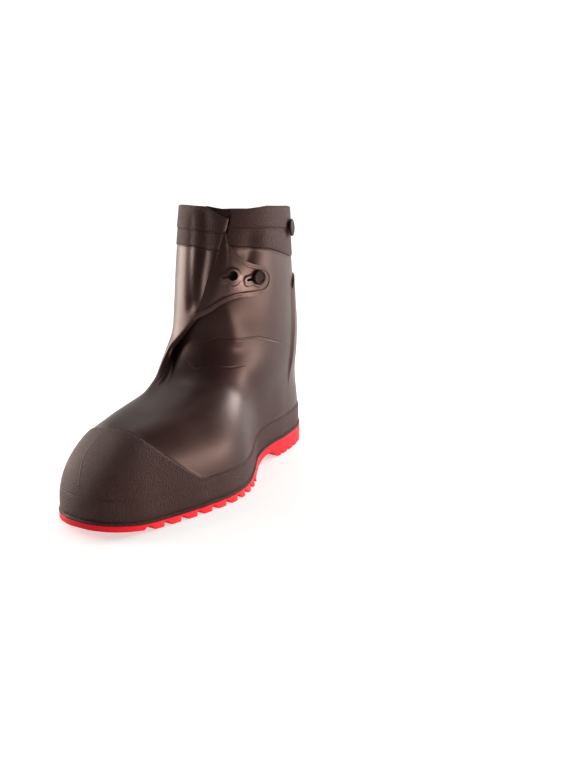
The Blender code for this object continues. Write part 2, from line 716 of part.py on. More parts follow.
def strap_edges(angle):
    """Lower and upper edge of the strap; it starts beside the pleat's free edge and ends round."""
    low = smooth_rows(STRAP_LOWER[:, 0], STRAP_LOWER[:, 1], angle)
    high = smooth_rows(STRAP_UPPER[:, 0], STRAP_UPPER[:, 1], angle)
    heights = np.linspace(STRAP_LOWER[0, 1] - 10.0, SHAFT[-1, 0], 60)
    high = np.minimum(high, np.interp(angle - STRAP_ROOT_GAP, pleat_row(heights)[0], heights))
    along = np.clip((angle - TONGUE_FROM) / (STRAP_UPPER[-1, 0] - TONGUE_FROM), 0.0, 1.0)
    middle = (low + high) / 2
    half = (high - low) / 2 * np.sqrt(1.0 - along ** 2)
    return middle - half, middle + half


def strap_angles():
    """Angles of the strap's columns, closer together towards the tongue's end."""
    tip = STRAP_UPPER[0, 0]
    trial = np.linspace(STRAP_LOWER[0, 0], tip, 200)
    low, high = strap_edges(trial)
    first = trial[np.argmax(high - low > STRAP_ROOT_WIDTH)]
    share = 1.0 - (1.0 - np.linspace(0.0, 1.0, STRAP_COLUMNS)) ** STRAP_CROWDING
    end = STRAP_UPPER[-1, 0] - TONGUE_BLUNT
    return np.concatenate([np.linspace(first, tip, STRAP_ROOT_COLUMNS), tip + (end - tip) * share[1:]])


def make_strap():
    angle = strap_angles()
    low, high = strap_edges(angle)
    across = np.linspace(0.0, 1.0, STRAP_ROWS)[:, None]
    z = low + (high - low) * across
    wide = np.broadcast_to(angle, z.shape)
    edge, _, spacing, _ = pleat_row(z)
    away = np.clip((wide - edge) / (STRAP_SETTLES - edge), 0.0, 1.0)
    rest = GAP + STRAP_THICKNESS / 2
    root = STRAP_ROOT_LAYER * spacing - WALL / 2
    lift = root + (rest - root) * ease(0.0, 1.0, away)
    faces = []
    for side in (-0.5, 0.5):
        shifted = on_panel(wide.ravel(), z.ravel(), (lift + side * STRAP_THICKNESS).ravel())
        faces.append(shifted.reshape(*z.shape, 3))
    bm = bmesh.new()
    under = add_grid(bm, faces[0])
    over = add_grid(bm, faces[1])
    lattice(bm, under[::-1])
    lattice(bm, over)
    lattice(bm, [under[0], over[0]])
    lattice(bm, [over[-1], under[-1]])
    lattice(bm, [[a[0], b[0]] for a, b in zip(over, under)])
    lattice(bm, [[b[-1], a[-1]] for a, b in zip(over, under)])
    strap = finish_mesh("closing_strap", bm, DARK_PVC)
    for number, place in enumerate((BUTTON_PLACE, FREE_HOLE_PLACE)):
        cut_keyhole(strap, "keyhole_%d" % (number + 1), place)
    return strap


def panel_frame(place):
    """Matrix on the outer panel: x towards the front along the panel, z outward."""
    angle = np.array([place[0]])
    z = np.array([place[1]])
    origin = on_panel(angle, z, np.zeros(1))[0]
    axis = Vector(outward(angle, z)[0])
    ahead = Vector(skin(angle - 1.0, z)[0] - skin(angle + 1.0, z)[0])
    ahead = (ahead - axis * ahead.dot(axis)).normalized()
    side = axis.cross(ahead)
    frame = Matrix((ahead, side, axis)).transposed().to_4x4()
    frame.translation = Vector(origin) * MM
    return frame


def cut_keyhole(strap, name, place):
    """A round hole with a slit towards the strap's root."""
    bm = bmesh.new()
    outline = []
    half = SLIT_WIDTH / 2
    start = math.asin(half / HOLE_RADIUS)
    for turn in np.linspace(start, 2 * math.pi - start, STUD_SIDES):
        outline.append((HOLE_RADIUS * math.cos(turn), HOLE_RADIUS * math.sin(turn)))
    for turn in np.linspace(-math.pi / 2, math.pi / 2, 7):
        outline.append((place[2] - half + half * math.cos(turn), half * math.sin(turn)))
    reach = 12.0
    rim = [bm.verts.new(Vector((x, y, -reach)) * MM) for x, y in outline]
    base = bm.faces.new(rim)
    raised = bmesh.ops.extrude_face_region(bm, geom=[base])
    lifted = [v for v in raised["geom"] if isinstance(v, bmesh.types.BMVert)]
    bmesh.ops.translate(bm, verts=lifted, vec=(0.0, 0.0, 2 * reach * MM))
    bmesh.ops.recalc_face_normals(bm, faces=bm.faces)
    bm.transform(panel_frame(place) @ Matrix.Rotation(math.radians(SLIT_RISE), 4, "Z"))
    mesh = bpy.data.meshes.new(name)
    bm.to_mesh(mesh)
    bm.free()
    cutter = bpy.data.objects.new(name, mesh)
    cutter.hide_render = True
    cutter.display_type = "WIRE"
    bpy.context.collection.objects.link(cutter)
    cut = strap.modifiers.new(name, "BOOLEAN")
    cut.operation = "DIFFERENCE"
    cut.object = cutter
    cutter.parent = strap


def make_stud(name, place, foot, profile):
    """A turned stud: a profile of radius and height, spun about the panel's normal."""
    bm = bmesh.new()
    points = [bm.verts.new(Vector((radius, 0.0, foot + height)) * MM) for radius, height in profile]
    edges = [bm.edges.new(pair) for pair in zip(points, points[1:])]
    bmesh.ops.spin(
        bm, geom=points + edges, cent=(0, 0, 0), axis=(0, 0, 1), angle=2 * math.pi,
        steps=STUD_SIDES, use_merge=True)
    bm.transform(panel_frame(place))
    return finish_mesh(name, bm, DARK_PVC)


def make_studs():
    strap_top = GAP + STRAP_THICKNESS + HEAD_CLEARANCE
    head = strap_top + HEAD_HEIGHT
    make_stud("strap_button", BUTTON_PLACE, GAP, (
        (0.0, 0.0),
        (NECK_RADIUS, 0.0),
        (NECK_RADIUS, strap_top - GAP),
        (HEAD_RADIUS - 0.5, strap_top - GAP),
        (HEAD_RADIUS, strap_top - GAP + 0.7),
        (HEAD_RADIUS, head - GAP - 1.4),
        (HEAD_RADIUS - 1.2, head - GAP - 0.3),
        (HEAD_RADIUS * 0.62, head - GAP),
        (HEAD_RADIUS * 0.5, head - GAP - 0.6),
        (0.0, head - GAP - 0.4),
    ))
    make_stud("collar_button", COLLAR_BUTTON_PLACE, COLLAR_TOP_STEP + GAP, (
        (0.0, 0.0),
        (NECK_RADIUS + 1.0, 0.0),
        (NECK_RADIUS, 0.9),
        (COLLAR_HEAD_RADIUS - 0.6, 1.1),
        (COLLAR_HEAD_RADIUS, 1.7),
        (COLLAR_HEAD_RADIUS - 0.8, 3.0),
        (COLLAR_HEAD_RADIUS * 0.6, 3.6),
        (0.0, 3.8),
    ))


def centre_on_footprint():
    """Parents every piece to an empty that puts the footprint's middle at the origin."""
    pieces = [o for o in bpy.data.objects if o.type == "MESH" and not o.hide_render]
    corners = np.array([tuple(v.co) for o in pieces for v in o.data.vertices])
    low = corners.min(axis=0)
    high = corners.max(axis=0)
    stand = bpy.data.objects.new("footprint_middle", None)
    stand.location = (-(low[0] + high[0]) / 2, -(low[1] + high[1]) / 2, -low[2])
    bpy.context.collection.objects.link(stand)
    for piece in pieces:
        piece.parent = stand


def main():
    for old in list(bpy.data.objects):
        bpy.data.objects.remove(old, do_unlink=True)
    _, inner = make_upper()
    make_outsole()
    make_insole(inner)
    make_strap()
    make_studs()
    centre_on_footprint()


main()
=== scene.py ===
# %% [markdown]
# # A moulded overshoe
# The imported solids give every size. This lesson gives them the finish of the real shoe: a thin dark
# wall with a folded front, a buttoned strap, and a red lugged sole.

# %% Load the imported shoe
import math

import bmesh
import bpy
import numpy as np
from mathutils import Matrix, Vector


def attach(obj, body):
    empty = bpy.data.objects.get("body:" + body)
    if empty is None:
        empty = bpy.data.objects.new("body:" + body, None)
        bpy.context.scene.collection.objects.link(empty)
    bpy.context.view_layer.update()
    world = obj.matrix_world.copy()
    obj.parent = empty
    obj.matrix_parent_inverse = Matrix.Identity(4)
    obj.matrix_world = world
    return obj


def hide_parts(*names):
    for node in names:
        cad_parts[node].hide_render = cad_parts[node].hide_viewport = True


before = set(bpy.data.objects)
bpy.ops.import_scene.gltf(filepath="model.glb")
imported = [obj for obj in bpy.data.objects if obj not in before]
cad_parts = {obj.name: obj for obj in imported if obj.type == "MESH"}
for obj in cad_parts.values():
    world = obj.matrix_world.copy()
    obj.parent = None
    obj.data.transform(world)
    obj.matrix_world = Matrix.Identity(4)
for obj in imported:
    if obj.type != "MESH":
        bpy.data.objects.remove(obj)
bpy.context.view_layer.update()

MM = 0.001
HEEL_END = Vector((-162.441, -2.021, 0.0))      # the heel end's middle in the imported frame, in millimetres

# %% [markdown]
# ## The studio
# The shoe stands on pale card that runs up behind it without an edge. A card can be a plane and a wall,
# but the corner would show, so one row of points is extruded along a round path instead. Dark glossy
# rubber shows little but reflections, so the lamps are placed for what the shoe mirrors: a big box draws
# the bright side of the shaft, a long low strip draws the strap and the panel behind it, and nothing
# stands in front, because a lamp there would fill the dark hollow beside the fold.

# %% The card under and behind the shoe
CARD_WIDTH = 7.0
CARD_FRONT = 1.9
CARD_BACK = 1.5
CARD_BEND = 0.8
CARD_HEIGHT = 3.2
CARD_TURN = 12              # steps of the bend
CARD_GLOW = 0.50            # the card is lit from behind a little, so it stays white
CAMERA_PLACE = Vector((0.6765, 0.4624, 0.3308))
CAMERA_AIM = Vector((-0.1143, 0.0348, 0.0661))
LENS = 41.95


def pale_card():
    """A sheet that lies under the shoe and bends up behind it, square to the camera."""
    away = CAMERA_AIM - CAMERA_PLACE
    away.z = 0.0
    away.normalize()
    side = away.cross(Vector((0, 0, 1)))
    bm = bmesh.new()
    edge = [bm.verts.new(-away * CARD_FRONT + side * CARD_WIDTH * k) for k in (-0.5, 0.5)]
    line = [bm.edges.new(edge)]
    steps = [away * (CARD_FRONT + CARD_BACK)]
    for k in range(CARD_TURN):
        low, high = (math.radians(90.0 * (k + d) / CARD_TURN) for d in (0, 1))
        steps.append(away * CARD_BEND * (math.sin(high) - math.sin(low))
                     + Vector((0, 0, 1)) * CARD_BEND * (math.cos(low) - math.cos(high)))
    steps.append(Vector((0, 0, CARD_HEIGHT)))
    for step in steps:
        made = bmesh.ops.extrude_edge_only(bm, edges=line)["geom"]
        line = [g for g in made if isinstance(g, bmesh.types.BMEdge)]
        fresh = [g for g in made if isinstance(g, bmesh.types.BMVert)]
        line = [e for e in line if all(v in fresh for v in e.verts)]
        bmesh.ops.translate(bm, verts=fresh, vec=step)
    bmesh.ops.recalc_face_normals(bm, faces=bm.faces)
    mesh = bpy.data.meshes.new("card")
    bm.to_mesh(mesh)
    bm.free()
    mesh.shade_smooth()
    card = bpy.data.objects.new("card", mesh)
    bpy.context.scene.collection.objects.link(card)
    paint = bpy.data.materials.new("pale_card")
    paint.use_nodes = True
    shader = paint.node_tree.nodes["Principled BSDF"]
    shader.inputs["Base Color"].default_value = (0.60, 0.597, 0.593, 1.0)
    shader.inputs["Roughness"].default_value = 0.9
    shader.inputs["Specular IOR Level"].default_value = 0.1
    shader.inputs["Emission Color"].default_value = (1.0, 1.0, 1.0, 1.0)
    shader.inputs["Emission Strength"].default_value = CARD_GLOW
    mesh.materials.append(paint)
    return card


card = pale_card()
print("card:", len(card.data.polygons), "strips,", CARD_WIDTH, "m wide")

# %% Camera and lamps
camera = bpy.data.objects.new("camera", bpy.data.cameras.new("camera"))
camera.data.lens = LENS
camera.location = CAMERA_PLACE
camera.rotation_mode = "QUATERNION"
camera.rotation_quaternion = (CAMERA_AIM - CAMERA_PLACE).to_track_quat("-Z", "Y")
bpy.context.scene.collection.objects.link(camera)
bpy.context.scene.camera = camera
bpy.context.scene.view_settings.view_transform = "Standard"

AIR_GLOW = 0.13
SHAFT_PLACE = Vector((-0.067, 0.0, 0.15))
CARD_PLACE = Vector((-2.0, -1.1, 0.6))
LAMPS = (
    # name, place, aim, size, watts, colour
    ("inner_side_box", (0.15, -1.13, 0.36), SHAFT_PLACE, (1.0, 0.7), 27.0, (1.0, 0.86, 0.79)),
    ("outer_side_strip", (-0.19, 1.14, 0.085), SHAFT_PLACE, (1.35, 0.15), 23.0, (1.0, 0.89, 0.83)),
    ("outer_back_box", (-1.06, 0.575, 0.45), SHAFT_PLACE, (0.5, 0.5), 16.0, (1.0, 0.95, 0.92)),
    ("top_box", (-0.4, -0.3, 1.7), SHAFT_PLACE, (1.4, 1.4), 6.0, (1.0, 0.96, 0.94)),
    ("card_wash", (-0.88, -0.47, 2.2), CARD_PLACE, (2.0, 0.5), 24.0, (1.0, 1.0, 1.0)),
)
for name, place, aim, size, watts, colour in LAMPS:
    lamp = bpy.data.lights.new(name, "AREA")
    lamp.shape = "RECTANGLE"
    lamp.size, lamp.size_y = size
    lamp.energy = watts
    lamp.color = colour
    holder = bpy.data.objects.new(name, lamp)
    holder.location = place
    holder.rotation_mode = "QUATERNION"
    holder.rotation_quaternion = (aim - holder.location).to_track_quat("-Z", "Y")
    bpy.context.scene.collection.objects.link(holder)
world = bpy.data.worlds.new("studio_air")
world.use_nodes = True
world.node_tree.nodes["Background"].inputs["Color"].default_value = (1.0, 1.0, 1.0, 1.0)
world.node_tree.nodes["Background"].inputs["Strength"].default_value = AIR_GLOW
bpy.context.scene.world = world
print("camera", tuple(round(v, 3) for v in camera.location), "lamps", len(LAMPS))

# %% [markdown]
# ## The last
# A shoe is drawn round a last, the wooden foot it is made on. It could be sculpted, but every later piece
# asks for the surface at some angle and height, so a formula serves better. Here the last is two plain
# volumes, a foot and a shaft, that melt into each other. Their sizes are short tables, and a smooth curve
# runs through each table's rows. A point on the surface is found by walking out from an upright line in
# the ankle.

# %% Tables of the last
SOLE_LENGTH = 325.0
TOE_SWING = 10.2
SWING_START = 175.0
AXIS = 95.0                 # upright line in the ankle that angles are measured round
WALL = 1.6
GAP = 0.3
FORE_THICKNESS = 5.4
HEEL_LIFT = 11.6
HEEL_RISE_FROM = 175.0
HEEL_RISE_TO = 90.0
TOE_SPRING = 6.6
SPRING_FROM = 262.0
FOOT_POWER = (2.5, 2.8)
SHAFT_POWER = 2.2
DEPTH_SCALE = 50.0
MELT = 8.0
PLAN = np.array([
    # from the heel end, outer and inner half width
    (0.0, 0.0, 0.0), (10.0, 27.0, 26.0), (40.0, 44.0, 43.0), (75.0, 47.0, 45.0), (125.0, 46.0, 42.5),
    (150.0, 56.5, 45.5), (175.0, 64.5, 49.5), (202.0, 66.0, 54.0), (230.0, 60.0, 58.5),
    (270.0, 47.5, 57.5), (300.0, 38.5, 46.0), (316.0, 26.0, 30.0), (325.0, 0.0, 0.0),
])
RIDGE = np.array([
    # from the heel end, height
    (325.0, 24.0), (320.0, 42.0), (311.0, 54.3), (297.0, 66.8), (275.0, 80.5), (250.0, 87.0), (215.0, 94.0),
    (185.0, 102.0), (150.0, 109.5), (100.0, 115.0), (45.0, 106.0), (12.0, 84.0), (0.0, 60.0),
])
SHAFT = np.array([
    # height, back, front, half width
    (0.0, 3.0, 190.0, 44.0), (58.0, 6.0, 196.0, 47.0), (98.0, 10.0, 185.0, 50.0), (128.0, 13.5, 165.0, 51.0),
    (158.0, 19.5, 160.5, 51.5), (203.0, 27.0, 153.5, 51.0), (254.0, 30.5, 145.0, 48.0),
])


def smooth_rows(stations, values, where):
    """Cubic curve through a table's rows, held at its ends."""
    stations = np.asarray(stations, float)
    values = np.asarray(values, float)
    step = np.diff(stations)
    rise = np.diff(values) / step
    slope = np.empty_like(values)
    slope[1:-1] = (rise[:-1] * step[1:] + rise[1:] * step[:-1]) / (step[1:] + step[:-1])
    slope[0] = 1.5 * rise[0] - 0.5 * slope[1]
    slope[-1] = 1.5 * rise[-1] - 0.5 * slope[-2]
    where = np.clip(where, stations[0], stations[-1])
    row = np.clip(np.searchsorted(stations, where) - 1, 0, len(stations) - 2)
    width = step[row]
    t = (where - stations[row]) / width
    start = (1 + 2 * t) * (1 - t) ** 2 * values[row] + t * (1 - t) ** 2 * width * slope[row]
    end = t * t * (3 - 2 * t) * values[row + 1] + t * t * (t - 1) * width * slope[row + 1]
    return start + end


def ease(low, high, value):
    """Smooth 0 to 1 ramp between two values."""
    t = np.clip((value - low) / (high - low), 0.0, 1.0)
    return t * t * (3.0 - 2.0 * t)


print("tables:", len(PLAN), "widths,", len(RIDGE), "ridge heights and", len(SHAFT), "rows of the shaft")


# %% The surface of the last
def turn_station(x):
    return np.arccos(1.0 - 2.0 * np.clip(x, 0.0, SOLE_LENGTH) / SOLE_LENGTH)


def half_width(x, outer):
    column = 1 if outer else 2
    return np.maximum(smooth_rows(turn_station(PLAN[:, 0]), PLAN[:, column], turn_station(x)), 0.0)


def centre_line(x):
    return -TOE_SWING * np.clip((x - SWING_START) / (SOLE_LENGTH - SWING_START), 0.0, None) ** 2


def feather(x):
    """Height of the joint between upper and sole."""
    spring = np.clip((x - SPRING_FROM) / (SOLE_LENGTH - SPRING_FROM), 0.0, 1.0) ** 2
    rise = 1.0 - ease(HEEL_RISE_TO, HEEL_RISE_FROM, x)
    return FORE_THICKNESS + TOE_SPRING * spring + HEEL_LIFT * rise


def ridge_height(x):
    back_from_toe = np.sqrt(np.clip((SOLE_LENGTH - x) / SOLE_LENGTH, 0.0, 1.0))
    stations = np.sqrt((SOLE_LENGTH - RIDGE[:, 0]) / SOLE_LENGTH)
    return smooth_rows(stations, RIDGE[:, 1], back_from_toe)


def depth_inside(x, y, z):
    """About how deep a point lies in the joint volume of foot and shaft."""
    across = y - centre_line(x)
    width = np.where(across > 0.0, half_width(x, True), half_width(x, False)) + 0.01
    beyond = np.maximum(np.maximum(-x, x - SOLE_LENGTH), 0.0)
    across = np.hypot(across, beyond)
    floor = feather(x)
    up = np.clip((z - floor) / np.maximum(ridge_height(x) - floor, 1.0), 0.0, None)
    level = (np.abs(across) / width) ** FOOT_POWER[0] + up ** FOOT_POWER[1]
    foot = (1.0 - level ** (2.0 / sum(FOOT_POWER))) * DEPTH_SCALE
    back, front, half = (smooth_rows(SHAFT[:, 0], SHAFT[:, c], z) for c in (1, 2, 3))
    along = np.abs(x - (back + front) / 2) / ((front - back) / 2)
    level = along ** SHAFT_POWER + (np.abs(y) / half) ** SHAFT_POWER
    shaft = (1.0 - level ** (1.0 / SHAFT_POWER)) * DEPTH_SCALE
    share = np.clip(0.5 + 0.5 * (foot - shaft) / MELT, 0.0, 1.0)
    return shaft * (1 - share) + foot * share + MELT * share * (1 - share)


def skin(angle, z):
    """Points of the surface at an angle from the front (degrees) and a height."""
    heading = np.radians(angle)
    near = np.zeros_like(heading)
    far = np.full_like(heading, SOLE_LENGTH)
    for _ in range(30):
        middle = (near + far) / 2
        deep = depth_inside(AXIS + middle * np.cos(heading), middle * np.sin(heading), z) > 0.0
        near = np.where(deep, middle, near)
        far = np.where(deep, far, middle)
    return np.stack([AXIS + near * np.cos(heading), near * np.sin(heading), z], -1)


def outward(angle, z):
    """Outward normals of the surface."""
    reach = 0.6
    along = skin(angle + reach, z) - skin(angle - reach, z)
    upward = skin(angle, z + reach) - skin(angle, z - reach)
    normal = np.cross(along, upward)
    return normal / np.linalg.norm(normal, axis=-1, keepdims=True)


print("ankle is", np.round(skin(np.array([90.0]), np.array([150.0]))[0], 1), "mm from the heel end")

# %% [markdown]
# ## Shared finishes
# The whole shoe is one kind of moulded rubber, so its effects are built once as node groups and placed
# in each material with their own values. A group only hands out colours and heights: the shader itself
# stays in the material, where its plain values are set on its own sockets.

# %% Helpers for node trees
def node_group(name, inputs, output):
    """An empty shader group with value or colour inputs and one output."""
    group = bpy.data.node_groups.new(name, "ShaderNodeTree")
    for label, value in inputs:
        kind = "NodeSocketColor" if isinstance(value, tuple) else "NodeSocketFloat"
        group.interface.new_socket(label, in_out="INPUT", socket_type=kind).default_value = value
    group.interface.new_socket(output[0], in_out="OUTPUT", socket_type=output[1])
    return group, group.nodes.new("NodeGroupInput"), group.nodes.new("NodeGroupOutput")


def sums(tree, operation, first, second, third=None):
    """A math node; sockets are linked and numbers are set."""
    node = tree.nodes.new("ShaderNodeMath")
    node.operation = operation
    for slot, value in zip(node.inputs, (first, second, third)):
        if isinstance(value, bpy.types.NodeSocket):
            tree.links.new(value, slot)
        elif value is not None:
            slot.default_value = value
    return node.outputs[0]


def texture(tree, kind, scale, **values):
    """A texture on object coordinates; the scale is a number or a socket."""
    node = tree.nodes.new(kind)
    place = tree.nodes.new("ShaderNodeTexCoord")
    tree.links.new(place.outputs["Object"], node.inputs["Vector"])
    if isinstance(scale, bpy.types.NodeSocket):
        tree.links.new(scale, node.inputs["Scale"])
    else:
        node.inputs["Scale"].default_value = scale
    for label, value in values.items():
        node.inputs[label].default_value = value
    return node


# %% Sandy grain and thin lines
def pebble_group():
    """Sandy mould grain: height in millimetres from a grain size in millimetres."""
    group, given, out = node_group(
        "pebble_grain", (("Size", 0.8), ("Height", 0.1)), ("Height", "NodeSocketFloat"))
    scale = sums(group, "DIVIDE", 1000.0, given.outputs["Size"])
    cells = texture(group, "ShaderNodeTexVoronoi", scale)
    finer = sums(group, "MULTIPLY", scale, 1.7)
    sand = texture(group, "ShaderNodeTexNoise", finer, Detail=3.0, Roughness=0.6)
    dome = sums(group, "SUBTRACT", 1.0, cells.outputs["Distance"])
    mixed = sums(group, "ADD", sums(group, "MULTIPLY", dome, 0.45), sand.outputs["Fac"])
    group.links.new(sums(group, "MULTIPLY", mixed, given.outputs["Height"]), out.inputs["Height"])
    return group


def line_group():
    """A thin moulded line: height in millimetres from the distance to the line."""
    group, given, out = node_group(
        "mould_line", (("Distance", 50.0), ("Width", 0.8), ("Height", 0.2)), ("Height", "NodeSocketFloat"))
    ramp = group.nodes.new("ShaderNodeMapRange")
    ramp.interpolation_type = "SMOOTHSTEP"
    group.links.new(sums(group, "ABSOLUTE", given.outputs["Distance"], None), ramp.inputs["Value"])
    group.links.new(sums(group, "MULTIPLY", given.outputs["Width"], 0.25), ramp.inputs["From Min"])
    group.links.new(given.outputs["Width"], ramp.inputs["From Max"])
    ramp.inputs["To Min"].default_value = 1.0
    ramp.inputs["To Max"].default_value = 0.0
    height = sums(group, "MULTIPLY", ramp.outputs["Result"], given.outputs["Height"])
    group.links.new(height, out.inputs["Height"])
    return group


PEBBLE, LINE = pebble_group(), line_group()
print("groups that give heights:", PEBBLE.name, LINE.name)


# %% Cloudy tone and uneven gloss
def tone_group():
    """Slow cloudy change of a colour, as in a cooled moulding."""
    group, given, out = node_group(
        "cooled_tone", (("Color", (0.5, 0.5, 0.5, 1.0)), ("Change", 0.15)), ("Color", "NodeSocketColor"))
    cloud = texture(group, "ShaderNodeTexNoise", 26.0, Detail=4.0, Roughness=0.6)
    centred = sums(group, "SUBTRACT", cloud.outputs["Fac"], 0.5)
    factor = sums(group, "ADD", 1.0, sums(group, "MULTIPLY", centred, given.outputs["Change"]))
    scale = group.nodes.new("ShaderNodeVectorMath")
    scale.operation = "SCALE"
    group.links.new(given.outputs["Color"], scale.inputs[0])
    group.links.new(factor, scale.inputs["Scale"])
    group.links.new(scale.outputs[0], out.inputs["Color"])
    return group


def gloss_group():
    """Roughness that is a little uneven from handling."""
    group, given, out = node_group(
        "handled_gloss", (("Roughness", 0.4), ("Change", 0.1)), ("Roughness", "NodeSocketFloat"))
    cloud = texture(group, "ShaderNodeTexNoise", 48.0, Detail=5.0, Roughness=0.65)
    centred = sums(group, "SUBTRACT", cloud.outputs["Fac"], 0.5)
    change = sums(group, "MULTIPLY", centred, given.outputs["Change"])
    uneven = sums(group, "ADD", given.outputs["Roughness"], change)
    group.links.new(uneven, out.inputs["Roughness"])
    return group


TONE, GLOSS = tone_group(), gloss_group()
print("groups that give colour and roughness:", TONE.name, GLOSS.name)

# %% [markdown]
# ## Materials
# The upper is dark brown-black and half glossy. Its toe cap and foxing band have a sandy grain and look
# a little paler for it, and its collar is matt with fine lines round it. An image could hold all this, but
# where these start is known when the wall is made. So the wall carries them as attributes, which stay on
# the surface from any side. The strap is glossier, and duller at the end that hands pull on.

# %% Colours and grain of the rubber
DARK = (0.018, 0.0081, 0.0070, 1.0)
GRAINED = (0.026, 0.0120, 0.0108, 1.0)      # the cap and the band look paler, as fine grain does
STUD = (0.009, 0.0042, 0.0037, 1.0)
RED = (0.54, 0.007, 0.017, 1.0)
FOOTBED = (0.020, 0.016, 0.015, 1.0)
SHEEN = (1.0, 0.69, 0.62, 1.0)      # the rubber's reflections are a little brown
TONE_CHANGE = 0.30
GLOSS_CHANGE = 0.12
UPPER_GLOSS_CHANGE = 0.10
UPPER_ROUGH = 0.39
GRAIN_ROUGH = 0.14          # added to it on the cap and the band
COLLAR_ROUGH = 0.27         # added to it on the collar
SAND = (1.5, 1.7)           # size and height of the grain in millimetres, on the cap and the band
DUST = (1.5, 0.9)           # on the collar
SKIN = (1.6, 0.012)         # all over the upper
RIB_SCALE = 330.0
RIB_HEIGHT = 0.13
STRAP_GRAIN = (0.8, 0.03)
STRAP_SHINE = 0.60
STRAP_GLOSS = 0.33
STRAP_DULL = 0.62
HANDLED = (-0.022, -0.038)  # the strap turns dull between these places along the shoe, in metres
THIN_LINES = (
    # distance and strength carried by the wall, width and height of the line in millimetres
    ("ankle_line", "ankle_shows", 1.2, -0.22),
    ("toe_seam", "seam_shows", 0.9, 0.70),
    ("band_line", "band_shows", 0.9, -0.60),
    ("cap_line", "cap_shows", 0.9, -0.60),
    ("collar_line", "collar_shows", 0.9, -0.80),
)
print("thin lines:", [mark for mark, *_ in THIN_LINES])


# %% Helpers for materials
def use_group(tree, group, **values):
    """Places a group; keyword names are its sockets, and values are numbers, colours or sockets."""
    node = tree.nodes.new("ShaderNodeGroup")
    node.node_tree = group
    for label, value in values.items():
        if isinstance(value, bpy.types.NodeSocket):
            tree.links.new(value, node.inputs[label])
        else:
            node.inputs[label].default_value = value
    return node.outputs[0]


def rubber(name, specular):
    """A plain rubber material; returns it with its tree and shader."""
    material = bpy.data.materials.new(name)
    material.use_nodes = True
    shader = material.node_tree.nodes["Principled BSDF"]
    shader.inputs["Specular IOR Level"].default_value = specular
    shader.inputs["Specular Tint"].default_value = SHEEN
    return material, material.node_tree, shader


def paint(tree, shader, colour, roughness, change=GLOSS_CHANGE):
    """Cloudy colour and uneven gloss; colour and roughness are values or sockets."""
    tone = use_group(tree, TONE, Color=colour, Change=TONE_CHANGE)
    gloss = use_group(tree, GLOSS, Roughness=roughness, Change=change)
    tree.links.new(tone, shader.inputs["Base Color"])
    tree.links.new(gloss, shader.inputs["Roughness"])


def bump(tree, shader, height):
    """Feeds a height in millimetres to the shader's normal."""
    node = tree.nodes.new("ShaderNodeBump")
    node.inputs["Distance"].default_value = MM
    tree.links.new(height, node.inputs["Height"])
    tree.links.new(node.outputs["Normal"], shader.inputs["Normal"])


def carried(tree, name):
    node = tree.nodes.new("ShaderNodeAttribute")
    node.attribute_name = name
    return node.outputs["Fac"]


# %% The upper's rubber
def grain_on(tree, size_height, mask):
    """Pebble grain that fades with a mask."""
    size, height = size_height
    return use_group(tree, PEBBLE, Size=size, Height=sums(tree, "MULTIPLY", mask, height))


def upper_rubber():
    material, tree, shader = rubber("upper_rubber", 0.25)
    grain, collar = carried(tree, "grain"), carried(tree, "collar")
    colour = tree.nodes.new("ShaderNodeMixRGB")
    colour.inputs["Color1"].default_value = DARK
    colour.inputs["Color2"].default_value = GRAINED
    tree.links.new(grain, colour.inputs["Fac"])
    rough = sums(tree, "ADD", UPPER_ROUGH, sums(tree, "MULTIPLY", grain, GRAIN_ROUGH))
    rough = sums(tree, "ADD", rough, sums(tree, "MULTIPLY", collar, COLLAR_ROUGH))
    paint(tree, shader, colour.outputs["Color"], rough, UPPER_GLOSS_CHANGE)
    ribs = texture(tree, "ShaderNodeTexWave", RIB_SCALE, Distortion=1.5, Detail=2.0)
    ribs.bands_direction = "Z"
    lines = sums(tree, "MULTIPLY", ribs.outputs["Fac"], sums(tree, "MULTIPLY", collar, RIB_HEIGHT))
    heights = [grain_on(tree, SAND, grain), lines, grain_on(tree, DUST, collar),
               use_group(tree, PEBBLE, Size=SKIN[0], Height=SKIN[1])]
    for mark, shows, width, height in THIN_LINES:
        deep = sums(tree, "MULTIPLY", carried(tree, shows), height)
        heights.append(use_group(tree, LINE, Distance=carried(tree, mark), Width=width, Height=deep))
    total = heights[0]
    for height in heights[1:]:
        total = sums(tree, "ADD", total, height)
    bump(tree, shader, total)
    return material


# %% The other rubbers
def strap_rubber():
    """Glossy rubber that hands have dulled at the tongue's end."""
    material, tree, shader = rubber("strap_rubber", STRAP_SHINE)
    place = tree.nodes.new("ShaderNodeTexCoord")
    parts = tree.nodes.new("ShaderNodeSeparateXYZ")
    tree.links.new(place.outputs["Object"], parts.inputs["Vector"])
    dull = tree.nodes.new("ShaderNodeMapRange")
    tree.links.new(parts.outputs["X"], dull.inputs["Value"])
    dull.inputs["From Min"].default_value, dull.inputs["From Max"].default_value = HANDLED
    dull.inputs["To Min"].default_value = STRAP_GLOSS
    dull.inputs["To Max"].default_value = STRAP_DULL
    paint(tree, shader, DARK, dull.outputs["Result"])
    bump(tree, shader, use_group(tree, PEBBLE, Size=STRAP_GRAIN[0], Height=STRAP_GRAIN[1]))
    return material


def plain_rubber(name, colour, roughness, grain, specular):
    """Rubber of one colour with a grain of one size and height."""
    material, tree, shader = rubber(name, specular)
    paint(tree, shader, colour, roughness)
    bump(tree, shader, use_group(tree, PEBBLE, Size=grain[0], Height=grain[1]))
    return material


FINISH = {
    "upper": upper_rubber(),
    "strap": strap_rubber(),
    "stud": plain_rubber("stud_rubber", STUD, 0.55, (1.2, 0.05), 0.10),
    "sole": plain_rubber("sole_rubber", RED, 0.55, (1.4, 0.12), 0.18),
    "footbed": plain_rubber("footbed_rubber", FOOTBED, 0.7, (1.0, 0.10), 0.25),
}
print("finishes:", sorted(FINISH))


